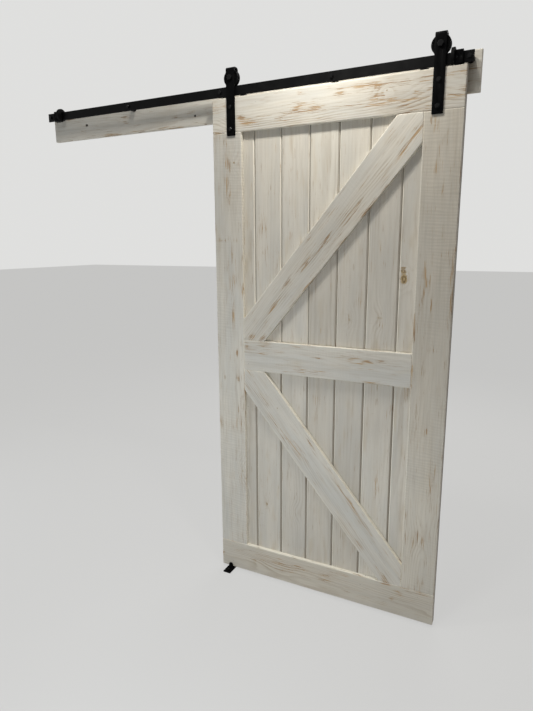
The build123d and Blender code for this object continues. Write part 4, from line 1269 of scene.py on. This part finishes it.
def sunkHoles(mesh, front):
    # counterbores for the wood screws, cut from a ring of plugs
    board = newPiece("headerBlank", mesh)
    plugs = bmesh.new()
    radius = headerScrews["radius"]
    turn = Matrix.Rotation(math.pi / 2, 4, "X")
    for x, z in headerScrews["places"]:
        bmesh.ops.create_cone(
            plugs,
            cap_ends=True,
            segments=headerScrews["sides"],
            radius1=radius,
            radius2=radius,
            depth=headerScrews["recess"] * 2,
            matrix=Matrix.Translation((x, front, z)) @ turn,
        )
    plugMesh = bpy.data.meshes.new("plugs")
    plugs.to_mesh(plugMesh)
    plugs.free()
    plugPiece = newPiece("plugs", plugMesh)
    cut = board.modifiers.new("cut", "BOOLEAN")
    cut.operation = "DIFFERENCE"
    cut.solver = "EXACT"
    cut.object = plugPiece
    result = plainMesh(board)
    bpy.data.objects.remove(board)
    bpy.data.objects.remove(plugPiece)
    return result


name, mesh, shape = straightBoard("header_board")
mesh = sunkHoles(mesh, shape["front"])
holes = [
    (x, z, headerScrews["radius"], darkness)
    for (x, z), darkness in zip(headerScrews["places"], headerScrews["darkness"])
]
finishBoard("header_board", name, mesh, shape, headerWood, "frame", holes)

braceMake = {"run": 0.096, "width": 0.1397, "creaseMargin": 0.006}


def braceLine(node):
    # where one long edge of the brace starts, and its directions along and across
    low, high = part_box(node)
    run = braceMake["run"]
    if node == "upper_brace":
        start, end = flat2(low.x, low.z + run), flat2(high.x - run, high.z)
    else:
        start, end = flat2(high.x - run, low.z), flat2(low.x, high.z - run)
    along = (end - start) / np.linalg.norm(end - start)
    return start, along, flat2(along[1], -along[0])


def braceBoard(node):
    low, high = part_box(node)
    start, along, across = braceLine(node)
    width, margin = braceMake["width"], braceMake["creaseMargin"]

    def span(w):
        x, z = start + across * w
        toX = sorted(((low.x - x) / along[0], (high.x - x) / along[0]))
        toZ = sorted(((low.z - z) / along[1], (high.z - z) / along[1]))
        return max(toX[0], toZ[0]), min(toX[1], toZ[1])

    def toEnds(x, z):
        return np.minimum(np.minimum(x - low.x, high.x - x), np.minimum(z - low.z, high.z - z))

    def toBoundary(s, w):
        return toEnds(*(start + across * w + along * s))

    corners = [flat2(x, z) for x in (low.x, high.x) for z in (low.z, high.z)]
    creases = [float((corner - start) @ across) for corner in corners]
    creases = [w for w in creases if margin < w < width - margin]
    shape = boardShape(start, along, across, width, toEnds, low.y)
    name = pieceName(node, "Wood")
    mesh = sawnMesh(name, shape, span, high.y, boardKinds[node]["seed"], creases, toBoundary)
    finishBoard(node, name, mesh, shape, frameWood, "door")


braceBoard("upper_brace")
braceBoard("lower_brace")

print("stage: panel boards")


def panelSection(width, highlightShare, first, last):
    make = panelMake
    half, vee, ease, reach = highlightShare / 2, make["vee"], make["ease"], make["tongue"]
    rear, lip, easeWaist = make["rearEase"], make["veeLip"], ease * make["easeWaist"]
    waistOut, waistIn = vee * make["veeWaist"][0], vee * make["veeWaist"][1]
    left = [(rear, highlightShare), (0, highlightShare - rear)]
    if first:
        left += [(0, ease), (easeWaist, easeWaist), (ease, 0)]
    else:
        near, far = half - make["tongueHalf"], half + make["tongueHalf"]
        left += [(0, far), (-reach, far), (-reach, near), (0, near)]
        left += [(0, vee), (waistOut, waistIn), (vee, lip)]
    if last:
        right = [(width - ease, 0), (width - easeWaist, easeWaist), (width, ease)]
    else:
        near, far = half - make["grooveHalf"], half + make["grooveHalf"]
        bottom = width - make["grooveDepth"]
        right = [(width - vee, lip), (width - waistOut, waistIn), (width, vee)]
        right += [(width, near), (bottom, near), (bottom, far), (width, far)]
    right += [(width, highlightShare - rear), (width - rear, highlightShare)]
    inset = vee + make["lineMargin"]
    lineCount = max(4, round(width / (make["acrossStep"] * quickStep)))
    lines = np.linspace(inset, width - inset, lineCount)
    chain = left + [(w, 0.0) for w in lines] + right
    count = len(chain)
    edges = [(i, (i + 1) % count) for i in range(count)]
    mesh = bpy.data.meshes.new("boardSection")
    mesh.from_pydata([(x, y, 0.0) for x, y in chain], edges, [])
    return mesh


def panelWoodOf(number):
    # each board's kind and heart, spread by its number, and the first board is warmer
    def spread(label, turn):
        least, apart = panelMake[label]
        return least + apart * turn

    heart = (spread("heartAcross", number * 5 % 4), spread("heartBehind", number % 3))
    warmth = panelMake["firstWarmth"] if number == 1 else spread("warmth", number * 3 % 4)
    kind = (panelMake["sawn"], spread("ringed", number * 7 % 3), warmth)
    return kind, (*heart, spread("runOut", number % 4))


for number in range(1, panelMake["count"] + 1):
    node = "panel_board_" + str(number)
    low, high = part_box(node)
    first, last = number == 1, number == panelMake["count"]
    left = low.x if first else low.x + panelMake["tongue"]
    width, length = high.x - left, high.z - low.z
    section = panelSection(width, high.y - low.y, first, last)
    values = {
        "Length": length,
        "Step": panelMake["alongStep"] * quickStep,
        "Foot": (left, low.y, low.z),
        "Planer Depth": panelMake["planerDepth"],
        "Seed": panelMake["seedStep"] * number,
        "Finish": panelWood,
    }
    piece = runTree("panelBoard" + str(number), section, sweptBoard, values)
    shape = boardShape(flat2(left, low.z), flat2(0, 1), flat2(1, 0), width, length, low.y)
    paintBoard(piece.data, node, shape, *panelWoodOf(number))
    smoothMesh(piece.data, panelMake["smoothAngle"])
    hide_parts(node)
    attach(piece, "door")

print("stage: nails and threads")

# Nails in millimetres. On a brace they go along and across it from where braceLine
# starts, and the lower brace's four lie beside it. On a rail they go along and across it
# from its left end and lower edge, or if negative from its right end and upper edge.
braceNails = {
    "upper_brace": ((236, 109), (30, 52), (60, 96), (985, 40), (955, 88)),
    "lower_brace": ((960, -36), (985, -92), (45, -40), (20, -90)),
}
railNails = {
    "mid_rail": ((22, -24), (30, -34)),
    "top_rail": ((210, -205, 520), (28, -30)),
    "bottom_rail": ((60, -66, 545), (30, -26)),
}


def nailPlaces():
    spots = []
    for node, places in braceNails.items():
        start, along, across = braceLine(node)
        spots += [start + along * (s * mm) + across * (w * mm) for s, w in places]
    for node, (columns, rows) in railNails.items():
        low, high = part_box(node)
        for row in rows:
            z = (low.z if row > 0 else high.z) + row * mm
            spots += [((low.x if x > 0 else high.x) + x * mm, z) for x in columns]
    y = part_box("top_rail")[0].y + nailMake["depth"] / 2 + nailMake["proud"]
    return [(float(x), y, float(z)) for x, z in spots]


nailValues = {
    "Head Radius": nailMake["radius"],
    "Head Depth": nailMake["depth"],
    "Spread": nailMake["spread"],
    "Seed": nailMake["seed"],
    "Finish": nailSteel,
}
nails = runTree("setNailHeads", pointsMesh("nailPlaces", nailPlaces()), setNails, nailValues)
smoothMesh(nails.data, nailMake["smoothAngle"])
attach(nails, "door")


def lagPlaces():
    low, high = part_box("track_lag_screws")
    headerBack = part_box("header_board")[1].y
    z = (low.z + high.z) / 2
    x0, x1 = low.x + lagMake["flange"], high.x - lagMake["flange"]
    spacing = lagMake["count"] - 1
    return [
        (x0 + (x1 - x0) * i / spacing, headerBack + lagMake["start"], z)
        for i in range(lagMake["count"])
    ]


lagValues = {
    "Core Radius": lagMake["core"],
    "Crest": lagMake["crest"],
    "Pitch": lagMake["pitch"],
    "Straight": lagMake["straight"],
    "Point": lagMake["point"],
    "Finish": blackBolt,
}
threads = runTree("lagThreads", pointsMesh("lagPlaces", lagPlaces()), lagThread, lagValues)
smoothMesh(threads.data, lagMake["smoothAngle"])
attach(threads, "frame")

print("stage: hardware finishes")

# Folded and cut steel gets soft edges: how wide, and on which body. Angles in degrees.
edgeSoftness = {
    "hanger_strap_left": (0.0006, "door"),
    "hanger_strap_right": (0.0006, "door"),
    "stop_block_left": (0.0007, "frame"),
    "stop_block_right": (0.0007, "frame"),
    "guide_base": (0.0004, "frame"),
    "guide_front_bracket": (0.0004, "frame"),
}
softMake = {"merge": 1e-6, "flat": 1.0, "bevelFrom": 32, "segments": 2, "sharpFrom": 50}


def softened(node, width, material, body):
    # a bevelled copy of a CAD solid, so that its edges catch the light as coated steel does
    mesh = nodes[node].data.copy()
    onlyMaterial(mesh, material)
    piece = newPiece(pieceName(node, "Coated"), mesh)
    work = bmesh.new()
    work.from_mesh(mesh)
    bmesh.ops.remove_doubles(work, verts=work.verts, dist=softMake["merge"])
    flatAngle = math.radians(softMake["flat"])
    bmesh.ops.dissolve_limit(work, angle_limit=flatAngle, verts=work.verts, edges=work.edges)
    work.to_mesh(mesh)
    work.free()
    bevel = piece.modifiers.new("softEdges", "BEVEL")
    bevel.width = width
    bevel.segments = softMake["segments"]
    bevel.limit_method = "ANGLE"
    bevel.angle_limit = math.radians(softMake["bevelFrom"])
    bevel.use_clamp_overlap = True
    result = plainMesh(piece)
    piece.modifiers.clear()
    piece.data = result
    for polygon in result.polygons:
        polygon.use_smooth = True
    result.set_sharp_from_angle(angle=math.radians(softMake["sharpFrom"]))
    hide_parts(node)
    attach(piece, body)


for node, (width, body) in edgeSoftness.items():
    softened(node, width, coatedSteel, body)

spacers = ["track_spacer_" + str(number) for number in range(1, 6)]
finishes = [
    (trackSteel, ["track_bar"]),
    (coatedSteel, ["strap_washers", *spacers]),
    (blackBolt, ["track_lag_screws", "strap_bolts", "strap_cap_nuts", "header_screws"]),
    (blackBolt, ["axle_nuts", "axle_sleeves", "anti_jump_screws", "stop_set_screws"]),
    (blackBolt, ["guide_adjuster_bolt", "guide_floor_screws"]),
]
pairFinishes = [
    (blackBolt, ["axle_bolt"]),
    (wheelNylon, ["wheel", "anti_jump_disc"]),
    (stopRubber, ["stop_bumper"]),
    (bearingSteel, ["bearing_outer", "bearing_inner", "bearing_shields"]),
    (bearingSteel, ["bearing_balls", "bearing_cage"]),
]
for material, stems in pairFinishes:
    finishes.append((material, [stem + side for stem in stems for side in ("_left", "_right")]))
for material, names in finishes:
    for name in names:
        onlyMaterial(nodes[name].data, material)

print("stage: floor, lights and camera")

# Rays that only look see a plain pale stage, and the lamps and the sky light the door
floorLook = {
    "size": 60.0,
    "colour": (0.42, 0.415, 0.41),
    "glow": (0.76, 0.76, 0.75),
    "glowShare": 0.68,
    "roughness": 0.8,
}
skyLook = {
    "below": 0.16,  # how strong the sky's light is, low down and then overhead
    "above": 0.34,
    "fade": (-0.2, 0.9),
    "colour": (1.0, 0.97, 0.92),
    "backdrop": (0.74, 0.74, 0.73),
}
lamps = {
    "ceiling": {
        "place": (0.48, -0.43, 0.50), "target": (0.48, -0.36, -1.0),
        "size": 0.11, "power": 8.5, "colour": (1.0, 0.975, 0.91),
    },
    "high": {
        "place": (0.50, -1.10, 1.90), "target": (0.45, -0.15, -1.0),
        "size": 0.34, "power": 22.5, "colour": (1.0, 0.985, 0.945),
    },
    "window": {
        "place": (-2.6, -1.15, -0.9), "target": (0.4, 0.0, -1.5),
        "size": 1.2, "power": 20.0, "colour": (0.85, 0.93, 1.0),
    },
    "room": {
        "place": (0.30, -1.6, -1.45), "target": (0.50, 0.0, -1.95),
        "size": 1.1, "power": 9.8, "colour": (0.88, 0.945, 1.0),
    },
    "behind": {
        "place": (0.2, 2.9, 1.0), "target": (0.1, 0.0, -0.9),
        "size": 2.4, "power": 46.0, "colour": (1.0, 0.99, 0.97),
    },
}
camera = {
    "place": (1.2959, -2.1984, -0.5855),
    "right": (0.8917, 0.4526, -0.0056),
    "up": (-0.0872, 0.1840, 0.9791),
    "back": (0.4442, -0.8725, 0.2035),
    "lens": 27.54,
    "sensor": 36.0,
    "farthest": 100.0,
}


def lookingRays(tree, kinds):
    path = tree.nodes.new("ShaderNodeLightPath")
    looking = path.outputs[kinds[0]]
    for kind in kinds[1:]:
        looking = sums(tree, "MAXIMUM", looking, path.outputs[kind])
    return looking


def shownTo(tree, looking, plain, shown, outputName):
    blend = tree.nodes.new("ShaderNodeMixShader")
    for value, target in zip((looking, plain, shown), blend.inputs):
        tree.links.new(value, target)
    tree.links.new(blend.outputs[0], tree.nodes[outputName].inputs["Surface"])


def floorSheet():
    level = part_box("guide_base")[0].z
    half = floorLook["size"] / 2
    corners = [(x * half, y * half, level) for x, y in ((-1, -1), (1, -1), (1, 1), (-1, 1))]
    mesh = bpy.data.meshes.new("floor")
    mesh.from_pydata(corners, [], [(0, 1, 2, 3)])
    piece = newPiece("floor", mesh)
    material, tree, shader = newMaterial("paleFloor")
    shader.inputs["Base Color"].default_value = (*floorLook["colour"], 1)
    shader.inputs["Roughness"].default_value = floorLook["roughness"]
    shader.inputs["Specular IOR Level"].default_value = 0.0
    glow = tree.nodes.new("ShaderNodeEmission")
    glow.inputs["Color"].default_value = (*floorLook["glow"], 1)
    looking = lookingRays(tree, ("Is Camera Ray", "Is Glossy Ray"))
    looking = sums(tree, "MULTIPLY", looking, floorLook["glowShare"])
    shownTo(tree, looking, shader.outputs[0], glow.outputs[0], "Material Output")
    mesh.materials.append(material)


def paleRoom():
    world = bpy.data.worlds.new("room")
    world.use_nodes = True
    tree = world.node_tree
    sky = tree.nodes["Background"]
    sky.inputs["Color"].default_value = (*skyLook["colour"], 1)
    upward = splitXyz(tree, tree.nodes.new("ShaderNodeTexCoord").outputs["Generated"])[2]
    upward = smoothStep(tree, upward, *skyLook["fade"])
    rise = skyLook["above"] - skyLook["below"]
    strength = sums(tree, "MULTIPLY_ADD", upward, rise, skyLook["below"])
    tree.links.new(strength, sky.inputs["Strength"])
    backdrop = tree.nodes.new("ShaderNodeBackground")
    backdrop.inputs["Color"].default_value = (*skyLook["backdrop"], 1)
    backdrop.inputs["Strength"].default_value = 1.0
    looking = lookingRays(tree, ("Is Camera Ray", "Is Glossy Ray", "Is Transmission Ray"))
    shownTo(tree, looking, sky.outputs[0], backdrop.outputs[0], "World Output")
    bpy.context.scene.world = world


def softLamp(name, place, target, size, power, colour):
    data = bpy.data.lights.new(name, "AREA")
    data.shape = "DISK"
    data.size = size
    data.energy = power
    data.color = colour
    lamp = bpy.data.objects.new(name, data)
    lamp.location = place
    aim = Vector(target) - Vector(place)
    lamp.rotation_mode = "QUATERNION"
    lamp.rotation_quaternion = aim.to_track_quat("-Z", "Y")
    lamp.visible_camera = False
    bpy.context.scene.collection.objects.link(lamp)


floorSheet()
for lampName, lamp in lamps.items():
    softLamp(lampName + "Lamp", **lamp)
paleRoom()

eye = bpy.data.cameras.new("photoCamera")
eye.lens = camera["lens"]
eye.sensor_width = camera["sensor"]
eye.sensor_fit = "AUTO"
eye.clip_end = camera["farthest"]
eyeObject = newPiece("photoCamera", eye)
axes = Matrix((camera["right"], camera["up"], camera["back"])).transposed().to_4x4()
eyeObject.matrix_world = Matrix.Translation(camera["place"]) @ axes
bpy.context.scene.camera = eyeObject
bpy.context.scene.view_settings.view_transform = "Standard"
